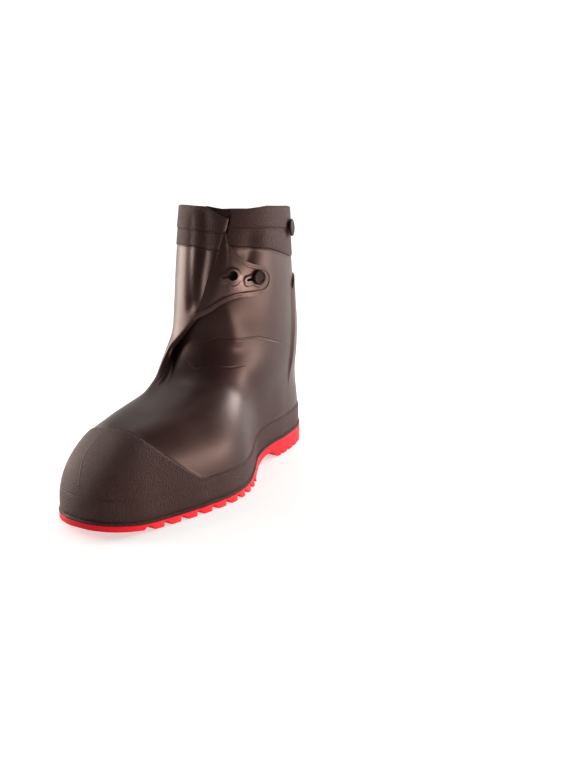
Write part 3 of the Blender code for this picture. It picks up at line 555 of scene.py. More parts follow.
# %% Helper for finished pieces
SHARP = 40.0                # edges that turn more than this many degrees stay sharp


def place_point(p):
    """From millimetres, measured from the heel end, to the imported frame."""
    return (Vector(p) + HEEL_END) * MM


def finished(name, bm, finish, sharp=SHARP):
    """Turns a bmesh into a named piece that rides on the shoe."""
    mesh = bpy.data.meshes.new(name)
    bm.to_mesh(mesh)
    bm.free()
    mesh.shade_smooth()
    mesh.set_sharp_from_angle(angle=math.radians(sharp))
    mesh.materials.append(FINISH[finish])
    piece = bpy.data.objects.new(name, mesh)
    bpy.context.scene.collection.objects.link(piece)
    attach(piece, "root")
    return piece


def report(piece):
    piece.data.calc_loop_triangles()
    corners = np.array([v.co for v in piece.data.vertices])
    size = np.round((corners.max(0) - corners.min(0)) / MM, 1)
    print(piece.name, len(piece.data.loop_triangles), "triangles,", size, "mm")


# %% [markdown]
# ## The front fold
# The front of the shaft is wider than the leg, so it is folded over in a pleat of three layers, and the
# strap holds it shut. A cloth simulation could fold it, but the fold's edge has a known place at every
# height, so it is drawn. The wall is made of columns that run from the sole to the rim. A table says where
# each column lies in the foot and where it goes in the fold, and finer columns are read between its rows.
# The outer layer climbs slowly to its free edge, turns round it sharply, and the wall runs back below it.

# %% Tables of the fold
PLEAT = np.array([
    # height, angle of the free edge, gathering, spacing of the layers, overlap in degrees
    (0.0, -8.0, 0.0, 0.0, 3.0), (78.0, -8.0, 0.0, 0.0, 3.0), (85.0, -12.0, 0.10, 0.5, 3.0),
    (91.0, -15.0, 0.30, 1.0, 3.0), (98.0, -16.0, 0.50, 4.2, 3.0), (106.0, -17.5, 0.62, 5.2, 4.0),
    (114.0, -18.5, 0.72, 5.1, 7.0), (122.0, -16.5, 0.86, 5.0, 10.0), (130.0, -12.5, 1.0, 4.4, 13.0),
    (138.0, -8.0, 1.0, 3.9, 14.0), (147.0, -2.0, 1.0, 3.5, 14.0), (157.0, 4.6, 1.0, 3.1, 14.0),
    (172.0, 9.8, 1.0, 2.9, 14.0), (187.0, 13.6, 1.0, 2.8, 14.0), (215.0, 20.1, 1.0, 2.35, 17.0),
    (234.0, 25.6, 1.0, 1.75, 22.0), (254.0, 31.0, 1.0, 1.7, 27.0),
])
PLEAT_FROM = -62.0
PLEAT_TO = 50.0
FULL_OVERLAP = 12.0
PLEAT_PATH = np.array([
    # foot angle, outer, overlap, panel, degrees, slope, layer
    (-62.0, 0.00, 0.0, 0.00, 0.0, 0.00, 0.00),
    (-50.0, 0.14, 0.0, 0.00, 0.0, 0.00, 0.02),
    (-40.0, 0.28, 0.0, 0.00, 0.0, 0.04, 0.12),
    (-31.5, 0.42, 0.0, 0.00, 0.0, 0.15, 0.35),
    (-25.0, 0.56, 0.0, 0.00, 0.0, 0.40, 0.72),
    (-20.0, 0.70, 0.0, 0.00, 0.0, 0.80, 1.18),
    (-16.0, 0.84, 0.0, 0.00, 0.0, 1.25, 1.64),
    (-12.8, 1.00, 0.0, 0.00, -2.4, 1.65, 2.00),
    (-10.6, 1.00, 0.0, 0.00, -0.6, 1.90, 1.88),
    (-8.8, 1.00, 0.0, 0.00, 0.0, 1.95, 1.50),
    (-7.0, 1.00, 0.0, 0.00, -0.6, 1.75, 1.12),
    (-5.2, 1.00, 0.0, 0.00, -2.4, 1.45, 1.00),
    (-3.4, 1.00, 0.6, 0.00, 0.0, 1.15, 1.00),
    (-1.6, 1.00, 1.0, 0.00, 3.0, 0.86, 0.98),
    (0.2, 1.00, 1.0, 0.00, 0.9, 0.58, 0.86),
    (2.0, 1.00, 1.0, 0.00, 0.0, 0.34, 0.50),
    (3.8, 1.00, 1.0, 0.00, 0.9, 0.16, 0.14),
    (5.6, 1.00, 1.0, 0.00, 3.0, 0.05, 0.02),
    (7.6, 1.00, 0.5, 0.00, 0.0, 0.00, 0.00),
    (9.8, 1.00, 0.0, 0.00, -0.5, 0.00, 0.00),
    (12.6, 1.00, 0.0, 0.12, 0.0, 0.00, 0.00),
    (16.8, 1.00, 0.0, 0.26, 0.0, 0.00, 0.00),
    (22.6, 1.00, 0.0, 0.42, 0.0, 0.00, 0.00),
    (29.0, 1.00, 0.0, 0.57, 0.0, 0.00, 0.00),
    (35.5, 1.00, 0.0, 0.71, 0.0, 0.00, 0.00),
    (42.5, 1.00, 0.0, 0.86, 0.0, 0.00, 0.00),
    (50.0, 1.00, 0.0, 1.00, 0.0, 0.00, 0.00),
])
SHOWS_UNTIL = 7.0           # rows of the table up to here are on the outer layer
SHOWS_FROM = 20.0           # rows from here are on the outer panel
BACK_FOLD = (13.5, 16.5)    # rows of the fold that is hidden between the layers
FINE = 4                    # fine columns to each row of the table
COUNTER_EDGE = 127.0        # angle of the back panel's upright edges
EDGE_SOFT = 1.4             # degrees on each side over which such an edge rises
EDGE_CLEAR = 2.2            # degrees to the next plain column
EDGE_COLUMNS = 5
SIDE_COLUMNS = 26
COUNTER_COLUMNS = 22


def pleat_row(z):
    """Angle of the free edge, gathering, layer spacing and overlap at a height."""
    return tuple(smooth_rows(PLEAT[:, 0], PLEAT[:, c], z) for c in (1, 2, 3, 4))


def all_columns():
    """Table index of every column, and the angle of those outside the fold."""
    rows = np.arange(len(PLEAT_PATH))
    fold = np.arange(0.0, len(PLEAT_PATH) - 1 + 1e-6, 1.0 / FINE)
    back = np.linspace(-180.0, -COUNTER_EDGE - EDGE_CLEAR, COUNTER_COLUMNS)
    corner = -COUNTER_EDGE + np.linspace(-EDGE_SOFT, EDGE_SOFT, EDGE_COLUMNS)
    inner = np.linspace(-COUNTER_EDGE + EDGE_CLEAR, PLEAT_FROM, SIDE_COLUMNS, endpoint=False)
    outer = np.linspace(COUNTER_EDGE - EDGE_CLEAR, PLEAT_TO, SIDE_COLUMNS, endpoint=False)[::-1]
    before = np.concatenate([back, corner, inner])
    after = np.concatenate([outer, -corner[::-1], -back[::-1]])
    index = np.concatenate([np.full(len(before), -1.0), fold, np.full(len(after), rows[-1] + 1.0)])
    path = [smooth_rows(rows, PLEAT_PATH[:, c], fold) for c in range(PLEAT_PATH.shape[1])]
    return index, before, np.array(path), after


INDEX, BEFORE, PATH, AFTER = all_columns()
COLUMNS = len(INDEX)
IN_FOLD = slice(len(BEFORE), len(BEFORE) + PATH.shape[1])


def column_places(z):
    """Angle and outward layer of every column at the heights z, one height per column."""
    edge, gather, spacing, overlap = pleat_row(z[IN_FOLD])
    gather = np.clip(gather, 0.0, 1.0)
    flat, outer, inner, panel, degrees, slope, level = PATH
    bent = PLEAT_FROM + outer * (edge - PLEAT_FROM) - inner * overlap + panel * (PLEAT_TO - edge)
    bent = bent + degrees * np.minimum(overlap / FULL_OVERLAP, 1.0)
    angle = np.concatenate([BEFORE, flat + (bent - flat) * gather, AFTER])
    layer = np.zeros(COLUMNS)
    layer[IN_FOLD] = (slope + (level - slope) * gather ** 2) * np.maximum(spacing, 0.0)
    return angle, layer


print("columns round the wall:", COLUMNS)

# %% [markdown]
# ## Rows of the wall
# Up each column the wall has steps: a rolled lip on the sole, the foxing band, the toe cap, the panel at
# the back, and the two bands of the collar. Pushing out an even grid would blur the steps. A step needs
# its own close rows, and the plain wall between needs rows evenly far apart along the surface, so each
# column is measured before its rows are set.

# %% Lines and steps of the wall
LIP = np.array([
    # height over the sole's joint, how far the lip stands out
    (0.0, 1.7), (0.3, 2.1), (0.7, 2.2), (1.3, 2.2), (1.8, 2.0), (2.2, 1.4), (2.6, 0.4), (3.1, 0.3),
    (3.5, 0.8), (4.0, 1.0),
])
LINES = (
    # line on the wall, rows up to it, how far the wall stands out there
    ("under the band's edge", 7, 1.0), ("band's edge", 3, 0.9),
    ("under the cap's edge", 14, 0.9), ("cap's edge", 3, 0.0),
    ("under the back panel's edge", 70, 0.0), ("back panel's edge", 3, 0.0),
    ("under the collar", 12, 0.0), ("collar", 3, 0.8),
    ("under the collar's line", 7, 0.8), ("collar's line", 3, 1.5), ("rim", 7, 1.5),
)
BAND_HEIGHT = 22.6
STEP_RISE = 0.9
FOOT_INSET = 2.2            # the foot lies this far inside the last
INSET_FADE = (60.0, 110.0)  # heights between which the wall comes out to the last
UPRIGHT_FADE = (12.0, 40.0)     # heights between which the wall may lean
CAP_CROSSING = 275.0
CAP_SWEEP = 46.0
CAP_REACH = 60.0
CAP_POWER = 4.0
CAP_MERGES = 12.0           # the cap's edge fades out this far from the band
COUNTER_TOP = 183.0
COUNTER_STEP = 2.2
COUNTER_FADE = (62.0, 98.0)
COUNTER_CORNER = 12.0
COLLAR_SAG = (5.0, 5.0, 7.0)
SAG_FROM = -30.0            # degrees before the free edge where the sag starts
RIM_ROUND = 1.0
COLLAR = np.array([
    # angle, lower edge, middle line, rim
    (-180.0, 198.0, 226.0, 243.5), (-128.0, 202.0, 228.0, 244.0), (-72.0, 214.0, 232.0, 252.5),
    (-22.0, 220.0, 234.5, 256.0), (5.0, 220.0, 234.5, 256.0), (31.0, 222.5, 238.5, 252.8),
    (76.0, 216.0, 236.0, 255.2), (120.0, 204.0, 231.5, 252.2), (180.0, 198.0, 226.0, 243.5),
])
SHOWN = np.where(INDEX < SHOWS_FROM - 5, 1.0 - ease(SHOWS_UNTIL, SHOWS_UNTIL + 1.0, INDEX),
                 ease(SHOWS_FROM - 1.0, SHOWS_FROM, INDEX))


def collar_lines():
    """Lower edge, middle line and rim for each column; the outer layer of the fold hangs lower."""
    top = np.full(COLUMNS, SHAFT[-1, 0])
    angle, _ = column_places(top)
    sag = ease(SAG_FROM, 0.0, angle - pleat_row(top)[0]) * (1.0 - ease(*BACK_FOLD, INDEX))
    lines = [np.interp(angle, COLLAR[:, 0], COLLAR[:, c]) for c in (1, 2, 3)]
    return [line - most * sag for line, most in zip(lines, COLLAR_SAG)]


def cap_edge(x, y):
    return CAP_CROSSING - CAP_SWEEP * np.abs((y - centre_line(x)) / CAP_REACH) ** CAP_POWER


def panel_top(angle):
    """Height of the back panel's upper edge, with its corners rounded."""
    past = np.clip(np.abs(angle) - COUNTER_EDGE, 0.0, COUNTER_CORNER)
    return COUNTER_TOP - COUNTER_CORNER + np.sqrt(COUNTER_CORNER ** 2 - (COUNTER_CORNER - past) ** 2)


print("lines up the wall:", len(LINES), "columns that show:", int(SHOWN.sum()))


# %% Heights of all rows
def cap_length(points, length, band):
    """How far up a column the toe cap ends; beside the cap that is just over the band."""
    ahead = points[:, 0] - cap_edge(points[:, 0], points[:, 1])
    crossing = np.nonzero((ahead[:-1] > 0.0) & (ahead[1:] <= 0.0))[0]
    least = band + 3.0 * STEP_RISE
    if len(crossing) == 0:
        return least
    at = crossing[-1]
    share = ahead[at] / (ahead[at] - ahead[at + 1])
    return max(least, length[at] + share * (length[at + 1] - length[at]))


def wall_rows():
    """Heights of the rows in each column, and how clearly the cap stands apart from the band there."""
    low, middle, rim = collar_lines()
    foot, _ = column_places(np.full(COLUMNS, 20.0))
    floor = feather(skin(foot, np.full(COLUMNS, 20.0))[:, 0]) + GAP
    samples = floor + (rim - floor) * np.linspace(0.0, 1.0, 150)[:, None]
    angle = np.stack([column_places(z)[0] for z in samples])
    points = skin(angle.ravel(), samples.ravel()).reshape(*samples.shape, 3)
    top = panel_top(column_places(np.full(COLUMNS, COUNTER_TOP))[0])
    rows, apart = [], []
    for c in range(COLUMNS):
        length = np.concatenate([[0.0], np.cumsum(np.linalg.norm(np.diff(points[:, c], axis=0), axis=1))])
        heights = np.array([floor[c] + LIP[-1, 0], floor[c] + BAND_HEIGHT, top[c], low[c], middle[c],
                            rim[c] - RIM_ROUND])
        lip, band, counter, collar, line, end = np.interp(heights, samples[:, c], length)
        cap = cap_length(points[:, c], length, band)
        apart.append(ease(0.0, CAP_MERGES, cap - band - 3.0 * STEP_RISE))
        marks = [lip]
        for mark in (band, cap, counter, collar, line):
            marks += [mark - STEP_RISE, mark]
        marks.append(end)
        places = []
        for start, stop, (_, count, _) in zip(marks, marks[1:], LINES):
            places.append(np.linspace(start, stop, count + 1)[1:])
        rows.append(np.concatenate([floor[c] + LIP[:, 0],
                                    np.interp(np.concatenate(places), length, samples[:, c])]))
    return np.array(rows).T, np.array(apart)


HEIGHTS, CAP_APART = wall_rows()
ENDS = len(LIP) - 1 + np.cumsum([count for _, count, _ in LINES])
LINE_ROW = {name: row for (name, _, _), row in zip(LINES, ENDS)}
print("rows up the wall:", len(HEIGHTS), "cap's edge at row", LINE_ROW["cap's edge"])

# %% [markdown]
# ## Creases and marks
# Soft rubber keeps the creases of its folding. They could be sculpted, but lines keep their place when a
# size changes. So the main ones are listed as lines on the shaft, each a soft trough or a soft ridge
# with its own depth and width. The thin mould lines at the ankle, on the toe and along the steps are too
# fine for the wall's rows, so the wall only carries the distance to them and the material draws them.

# %% Creases on the shaft
MM_PER_DEGREE = 0.95
CREASES = (
    # depth, width, then angle and height of the points along it
    (-1.3, 3.0, ((-12.0, 245.0), (-10.2, 224.5), (-8.8, 211.0), (-7.0, 193.0), (-5.5, 179.5),
                 (-2.5, 162.0))),
    (-3.2, 6.0, ((4.0, 247.5), (5.5, 238.5), (6.5, 212.0), (4.5, 194.0), (4.0, 180.5), (4.0, 171.5))),
    (1.8, 7.0, ((24.2, 166.0), (27.2, 158.0), (31.2, 144.0), (34.0, 134.0))),
    (-3.4, 8.0, ((53.0, 226.0), (51.0, 214.0), (46.0, 204.0))),
)
POCKETS = (
    # the same, where only the lower layers give way
    (-4.5, 12.0, ((31.0, 194.0), (33.0, 194.0))),
)
ANKLE_LINES = (
    ((4.0, 130.0), (20.0, 137.0), (37.5, 135.0), (56.5, 134.0), (95.0, 122.0)),
    ((38.0, 110.0), (29.0, 110.0), (12.0, 113.0), (6.0, 111.0), (1.0, 113.0)),
)
TOE_SEAM = ((273.2, -13.2), (287.7, -18.5), (299.6, -21.4), (306.5, -19.4), (313.3, -16.2), (317.9, -13.6))


def distance_to(line, u, v):
    """Distance from points (u, v) to a line through a few points."""
    least = np.full(np.shape(u), np.inf)
    for (u0, v0), (u1, v1) in zip(line, line[1:]):
        span = (u1 - u0) ** 2 + (v1 - v0) ** 2
        t = np.clip(((u - u0) * (u1 - u0) + (v - v0) * (v1 - v0)) / span, 0.0, 1.0)
        least = np.minimum(least, np.hypot(u - u0 - t * (u1 - u0), v - v0 - t * (v1 - v0)))
    return least


def signed_distance(line, u, v):
    """The same with a sign for the two sides; the line runs on past its ends."""
    least = np.full(np.shape(u), np.inf)
    signed = np.zeros(np.shape(u))
    for number, ((u0, v0), (u1, v1)) in enumerate(zip(line, line[1:])):
        t = ((u - u0) * (u1 - u0) + (v - v0) * (v1 - v0)) / ((u1 - u0) ** 2 + (v1 - v0) ** 2)
        t = np.clip(t, 0.0 if number else -np.inf, np.inf if number == len(line) - 2 else 1.0)
        away = np.hypot(u - u0 - t * (u1 - u0), v - v0 - t * (v1 - v0))
        side = (u1 - u0) * (v - v0) - (v1 - v0) * (u - u0)
        signed = np.where(away < least, np.copysign(away, side), signed)
        least = np.minimum(least, away)
    return signed


def on_shaft(line):
    return [(angle * MM_PER_DEGREE, z) for angle, z in line]


def crease_depth(creases, angle, z):
    """Sum of some creases at an angle and a height."""
    total = np.zeros(np.shape(z))
    for depth, width, line in creases:
        away = distance_to(on_shaft(line), angle * MM_PER_DEGREE, z)
        total = total + depth * np.exp(-(away / width) ** 2)
    return total


print("creases:", len(CREASES) + len(POCKETS), "ankle lines:", len(ANKLE_LINES))


# %% The wall's outer and inner face
def loop_normals(grid):
    """Normals of a grid of points whose columns form a closed loop."""
    around = np.roll(grid, -1, axis=1) - np.roll(grid, 1, axis=1)
    normal = np.cross(around, np.gradient(grid, axis=0))
    return normal / np.linalg.norm(normal, axis=-1, keepdims=True)


def stand_out(angle, z):
    """How far each point of the outer face stands out from the plain wall."""
    marks = [LIP[-1, 1]] + [out for _, _, out in LINES]
    column = [out for _, out in LIP]
    for start, stop, (_, count, _) in zip(marks, marks[1:], LINES):
        column += list(start + (stop - start) * ease(0.0, 1.0, np.linspace(0.0, 1.0, count + 1)[1:]))
    row = np.arange(len(z))[:, None]
    above_cap = row > LINE_ROW["cap's edge"]
    over_band = ease(LINE_ROW["under the band's edge"], LINE_ROW["band's edge"], row)
    merged = over_band * (1.0 - CAP_APART[None, :-1])
    out = np.array(column)[:, None] * np.where(above_cap, SHOWN[None, :-1], 1.0 - merged)
    edge = ease(-EDGE_SOFT, EDGE_SOFT, np.abs(angle) - COUNTER_EDGE)
    below_top = 1.0 - ease(-STEP_RISE, 0.0, z - panel_top(angle))
    panel = COUNTER_STEP * ease(*COUNTER_FADE, z) * edge * below_top
    return out + np.where(above_cap, panel, 0.0)


def wall_faces():
    places = [column_places(z) for z in HEIGHTS]
    angle = np.stack([p[0] for p in places])[:, :-1]
    layer = np.stack([p[1] for p in places])[:, :-1]
    z = HEIGHTS[:, :-1]
    shape = z.shape
    surface = skin(angle.ravel(), z.ravel()).reshape(*shape, 3)
    level = outward(angle.ravel(), z.ravel()).reshape(*shape, 3)
    level[..., 2] *= ease(*UPRIGHT_FADE, z)
    inset = WALL / 2 + FOOT_INSET * (1.0 - ease(*INSET_FADE, z))
    covered = np.clip(layer / (2.0 * np.maximum(pleat_row(z)[2], 0.1)), 0.0, 1.0)
    creases = crease_depth(CREASES, angle, z) + crease_depth(POCKETS, angle, z) * (1.0 - covered)
    middle = surface + level * (layer - inset + creases)[..., None]
    facing = loop_normals(middle)
    facing[..., 2] *= ease(*UPRIGHT_FADE, z)
    facing /= np.linalg.norm(facing, axis=-1, keepdims=True)
    outer = middle + facing * (WALL / 2 + stand_out(angle, z))[..., None]
    inner = middle - facing * (WALL / 2)
    for face in (outer, inner):
        face[0, :, 2] = z[0]
        face[-1, :, 2] = z[-1]
    return angle, z, outer, inner


ANGLE, HEIGHT, OUTER, INNER = wall_faces()
print("wall from", np.round(OUTER.reshape(-1, 3).min(0), 1), "to", np.round(OUTER.reshape(-1, 3).max(0), 1))

# %% [markdown]
# ## The upper
# One grid is enough for the whole wall: its rows run up the outer face, over a rounded rim and down the
# inner face, and its columns run once round. Wrapped like that, a flat grid becomes a closed ring, and
# merging its doubles joins the two seams. A Solidify modifier would make the inner face as well, but it
# has no steps there, and the folds need both faces to stay apart.

# %% Rows of the ring
INNER_EVERY = 4             # the inner face takes every fourth row
RIM_TURNS = (35.0, 90.0, 145.0)


def ring_rows():
    """Rows of points over the whole ring, and which of the outer rows each one belongs to."""
    rim = []
    for turn in np.radians(RIM_TURNS):
        half = (OUTER[-1] - INNER[-1]) / 2
        rim.append((OUTER[-1] + INNER[-1]) / 2 + half * np.cos(turn) + (0.0, 0.0, RIM_ROUND * np.sin(turn)))
    top = len(HEIGHTS) - 1
    down = list(range(top, 0, -INNER_EVERY)) + [0]
    rows = list(OUTER) + rim + [INNER[r] for r in down] + [OUTER[0]]
    source = list(range(len(OUTER))) + [top] * len(rim) + [-1] * len(down) + [0]
    return np.array(rows), np.array(source)


RING, RING_SOURCE = ring_rows()
print("rows of the ring:", len(RING))

# %% Marks that the wall carries
LINE_FADES = 5.0            # a thin line fades out over this length past its ends
SEAM_ABOVE = 24.0           # the toe's seam starts over the band


def line_end(signed, whole):
    """1 along a thin line, fading to 0 past its ends."""
    past = np.sqrt(np.maximum(whole ** 2 - signed ** 2, 0.0))
    return 1.0 - ease(0.0, LINE_FADES, past)


def ankle_marks(around, z):
    """Distance to the nearest ankle line and how clearly it shows."""
    lines = [on_shaft(line) for line in ANKLE_LINES]
    away = np.stack([signed_distance(line, around, z) for line in lines])
    whole = np.stack([distance_to(line, around, z) for line in lines])
    nearest = np.argmin(whole, axis=0)[None]
    away, whole = (np.take_along_axis(d, nearest, 0)[0] for d in (away, whole))
    return away, line_end(away, whole) * (INDEX[None, :-1] >= SHOWS_FROM)


def wall_marks(source):
    """What the material reads: grain, collar, and the distances to the thin lines with their strength."""
    row = source[:, None]
    outside = (row >= 0) * np.ones_like(HEIGHT[source])
    z, point = HEIGHT[source], OUTER[source]
    edge = {name: z[number][None, :] for name, number in LINE_ROW.items()}
    ankle, ankle_shows = ankle_marks(ANGLE[source] * MM_PER_DEGREE, z)
    seam = signed_distance(TOE_SEAM, point[..., 0], point[..., 1])
    seam_shows = line_end(seam, distance_to(TOE_SEAM, point[..., 0], point[..., 1]))
    on_cap = (row <= LINE_ROW["under the cap's edge"]) & (z > SEAM_ABOVE)
    return {
        "grain": outside * (1.0 - ease(LINE_ROW["under the cap's edge"], LINE_ROW["cap's edge"], row)),
        "collar": outside * ease(LINE_ROW["under the collar"], LINE_ROW["collar"], row) * SHOWN[None, :-1],
        "ankle_line": ankle,
        "ankle_shows": outside * ankle_shows,
        "toe_seam": seam,
        "seam_shows": outside * on_cap * seam_shows,
        "band_line": z - edge["band's edge"] + STEP_RISE / 2,
        "band_shows": outside * CAP_APART[None, :-1],
        "cap_line": z - edge["cap's edge"] + STEP_RISE / 2,
        "cap_shows": outside * CAP_APART[None, :-1],
        "collar_line": np.maximum(edge["under the collar"] - z, z - edge["under the collar's line"]),
        "collar_shows": outside * SHOWN[None, :-1],
    }


MARKS = wall_marks(RING_SOURCE)
print("marks:", sorted(MARKS))

# %% Wrap a grid into the upper
UPPER_SHARP = 50.0
MERGE = 0.002               # points closer than this many millimetres become one


def make_upper():
    bm = bmesh.new()
    columns = RING.shape[1]
    bmesh.ops.create_grid(bm, x_segments=columns, y_segments=len(RING) - 1, size=1.0)
    layers = {name: bm.verts.layers.float.new(name) for name in MARKS}
    bm.verts.ensure_lookup_table()
    for number, vertex in enumerate(bm.verts):
        r, c = divmod(number, columns + 1)
        c = c % columns
        vertex.co = place_point(RING[r, c])
        for name, values in MARKS.items():
            vertex[layers[name]] = values[r, c]
    bmesh.ops.remove_doubles(bm, verts=bm.verts, dist=MERGE * MM)
    bmesh.ops.recalc_face_normals(bm, faces=bm.faces)
    upper = finished("moulded_upper", bm, "upper", UPPER_SHARP)
    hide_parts("upper")
    return upper


report(make_upper())

# %% [markdown]
# ## The strap
# The strap grows out of the edge of the fold, comes down to the outer panel, and ends in a round tongue.
# Its border, where it is free, and the rims of its two keyholes are raised. It could be cut from a flat
# sheet and bent, but it has to lie on two surfaces at once. So a grid is laid over the panel: its root is
# flush with the fold's outer layer, it is a little domed across, and it is lifted where the border and
# rims are. Then it is thickened and bevelled, and the keyholes are cut last, so their rims stay clean.

# %% The strap's outline
STRAP_LOWER = np.array([
    # angle, height of the lower edge
    (1.2, 154.5), (8.2, 158.8), (14.8, 163.8), (21.2, 169.2), (27.8, 173.0), (34.5, 175.4), (45.0, 176.0),
    (73.5, 176.4),
])
STRAP_UPPER = np.array([
    # angle, height of the upper edge
    (26.3, 234.5), (27.4, 227.0), (31.2, 219.8), (37.2, 212.5), (45.0, 206.5), (53.8, 203.2), (60.0, 202.2),
    (73.5, 202.2),
])
TONGUE_FROM = 60.0          # angle from which the end is rounded
TONGUE_TO = 73.48
STRAP_ROOT_WIDTH = 1.0
STRAP_ROOT_GAP = -3.0       # degrees from the fold's free edge to the root, which overlaps the fold
STRAP_ROOT_LAYER = 1.97     # layers of the fold under the strap's root
STRAP_SETTLES = 39.0        # from this angle on the strap lies on the panel
STRAP_FALL = 1.6            # a higher power comes down to the panel sooner
STRAP_THICKNESS = 2.0
STRAP_BEVEL = 0.45
STRAP_DOME = 2.0            # the strap is a little rounded across, so its upper half faces up
DOME_RISES = 12.0           # degrees from the root to the full dome
DOME_ENDS = (30.0, 52.0)    # angles between which it goes flat for the stud
BORDER = (2.0, 3.2)         # width of the raised border and of its foot
BORDER_LIFT = 0.8
RIM = (2.2, 3.2)
RIM_LIFT = 0.8
STRAP_COLUMNS = 110
STRAP_CROWD = 1.6           # a higher power sets the columns closer in the tongue's end
STRAP_ROWS = 48
BUTTON_PLACE = (56.5, 191.0, 13.0)      # angle, height, length of the keyhole's slit
FREE_HOLE_PLACE = (32.0, 194.0, 10.0)
COLLAR_BUTTON_PLACE = (121.0, 231.0)
HOLE_RADIUS = 4.6
SLIT_WIDTH = 2.6
SLIT_RISE = 8.0             # degrees that the slits rise towards the strap's root
CUT_REACH = 12.0            # the cutters reach this far in and out


def on_panel(angle, z, lift):
    """Points over the outer panel, lifted from its outer face."""
    angle, z = np.asarray(angle, float), np.asarray(z, float)
    inset = FOOT_INSET * (1.0 - ease(*INSET_FADE, z))
    return skin(angle, z) + outward(angle, z) * (lift - inset)[..., None]


def strap_edges(angle):
    """Lower and upper edge of the strap; it starts beside the fold's free edge and ends round."""
    low = smooth_rows(STRAP_LOWER[:, 0], STRAP_LOWER[:, 1], angle)
    high = smooth_rows(STRAP_UPPER[:, 0], STRAP_UPPER[:, 1], angle)
    heights = np.linspace(STRAP_LOWER[0, 1] - 10.0, SHAFT[-1, 0], 60)
    high = np.minimum(high, np.interp(angle - STRAP_ROOT_GAP, pleat_row(heights)[0], heights))
    along = np.clip((angle - TONGUE_FROM) / (STRAP_UPPER[-1, 0] - TONGUE_FROM), 0.0, 1.0)
    half = (high - low) / 2 * np.sqrt(1.0 - along ** 2)
    middle = (high + low) / 2
    return middle - half, middle + half


def panel_frame(place):
    """Matrix on the outer panel in millimetres: x to the front along the panel, z outward."""
    angle, z = np.array([place[0]]), np.array([place[1]])
    axis = Vector(outward(angle, z)[0])
    ahead = Vector(skin(angle - 1.0, z)[0] - skin(angle + 1.0, z)[0])
    ahead = (ahead - axis * ahead.dot(axis)).normalized()
    turned = Matrix((ahead, axis.cross(ahead), axis)).transposed().to_4x4()
    turned.translation = Vector(on_panel(angle, z, np.zeros(1))[0])
    return turned


def keyhole_frame(place):
    return panel_frame(place) @ Matrix.Rotation(math.radians(SLIT_RISE), 4, "Z")


def keyhole_distance(place, points):
    """Distance from points to a keyhole's outline, seen square to the panel."""
    inverse = np.array(keyhole_frame(place).inverted())
    flat = points @ inverse[:3, :3].T + inverse[:3, 3]
    round_part = np.hypot(flat[..., 0], flat[..., 1]) - HOLE_RADIUS
    ahead = np.clip(flat[..., 0], 0.0, place[2] - SLIT_WIDTH / 2)
    slit = np.hypot(flat[..., 0] - ahead, flat[..., 1]) - SLIT_WIDTH / 2
    return np.minimum(round_part, slit)


print("strap from", STRAP_LOWER[0, 0], "to", TONGUE_TO, "degrees")


# %% The strap's surface
def strap_points():
    """Rows and columns of the strap's upper face in millimetres."""
    trial = np.linspace(STRAP_LOWER[0, 0], TONGUE_TO, 400)
    low, high = strap_edges(trial)
    first = trial[np.argmax(high - low > STRAP_ROOT_WIDTH)]
    share = np.linspace(0.0, 1.0, STRAP_COLUMNS + 1)
    angle = first + (TONGUE_TO - first) * (1.0 - (1.0 - share) ** STRAP_CROWD)
    low, high = strap_edges(angle)
    across = np.linspace(0.0, 1.0, STRAP_ROWS + 1)[:, None]
    z = low + (high - low) * across
    wide = np.broadcast_to(angle, z.shape)
    edge, _, spacing, _ = pleat_row(z)
    start = edge + STRAP_ROOT_GAP
    away = np.clip((wide - start) / (STRAP_SETTLES - start), 0.0, 1.0)
    rest = GAP + STRAP_THICKNESS
    root = STRAP_ROOT_LAYER * spacing
    lift = root + (rest - root) * (1.0 - (1.0 - away) ** STRAP_FALL)
    domed = ease(0.0, DOME_RISES, wide - start) * (1.0 - ease(*DOME_ENDS, wide))
    lift = lift + STRAP_DOME * domed * 4.0 * across * (1.0 - across)
    bare = on_panel(wide.ravel(), z.ravel(), lift.ravel()).reshape(*z.shape, 3)
    free = angle >= STRAP_UPPER[0, 0]
    outline = [(a * MM_PER_DEGREE, h) for a, h in zip(angle, low)]
    outline += [(a * MM_PER_DEGREE, h) for a, h in zip(angle[free][::-1], high[free][::-1])]
    inside = distance_to(outline, wide * MM_PER_DEGREE, z)
    raised = BORDER_LIFT * (1.0 - ease(*BORDER, inside))
    for place in (BUTTON_PLACE, FREE_HOLE_PLACE):
        rim = RIM_LIFT * (1.0 - ease(*RIM, keyhole_distance(place, bare)))
        raised = np.maximum(raised, rim)
    return on_panel(wide.ravel(), z.ravel(), (lift + raised).ravel()).reshape(*z.shape, 3)


STRAP_FACE = strap_points()
print("strap's upper face:", STRAP_FACE.shape[:2], "points")


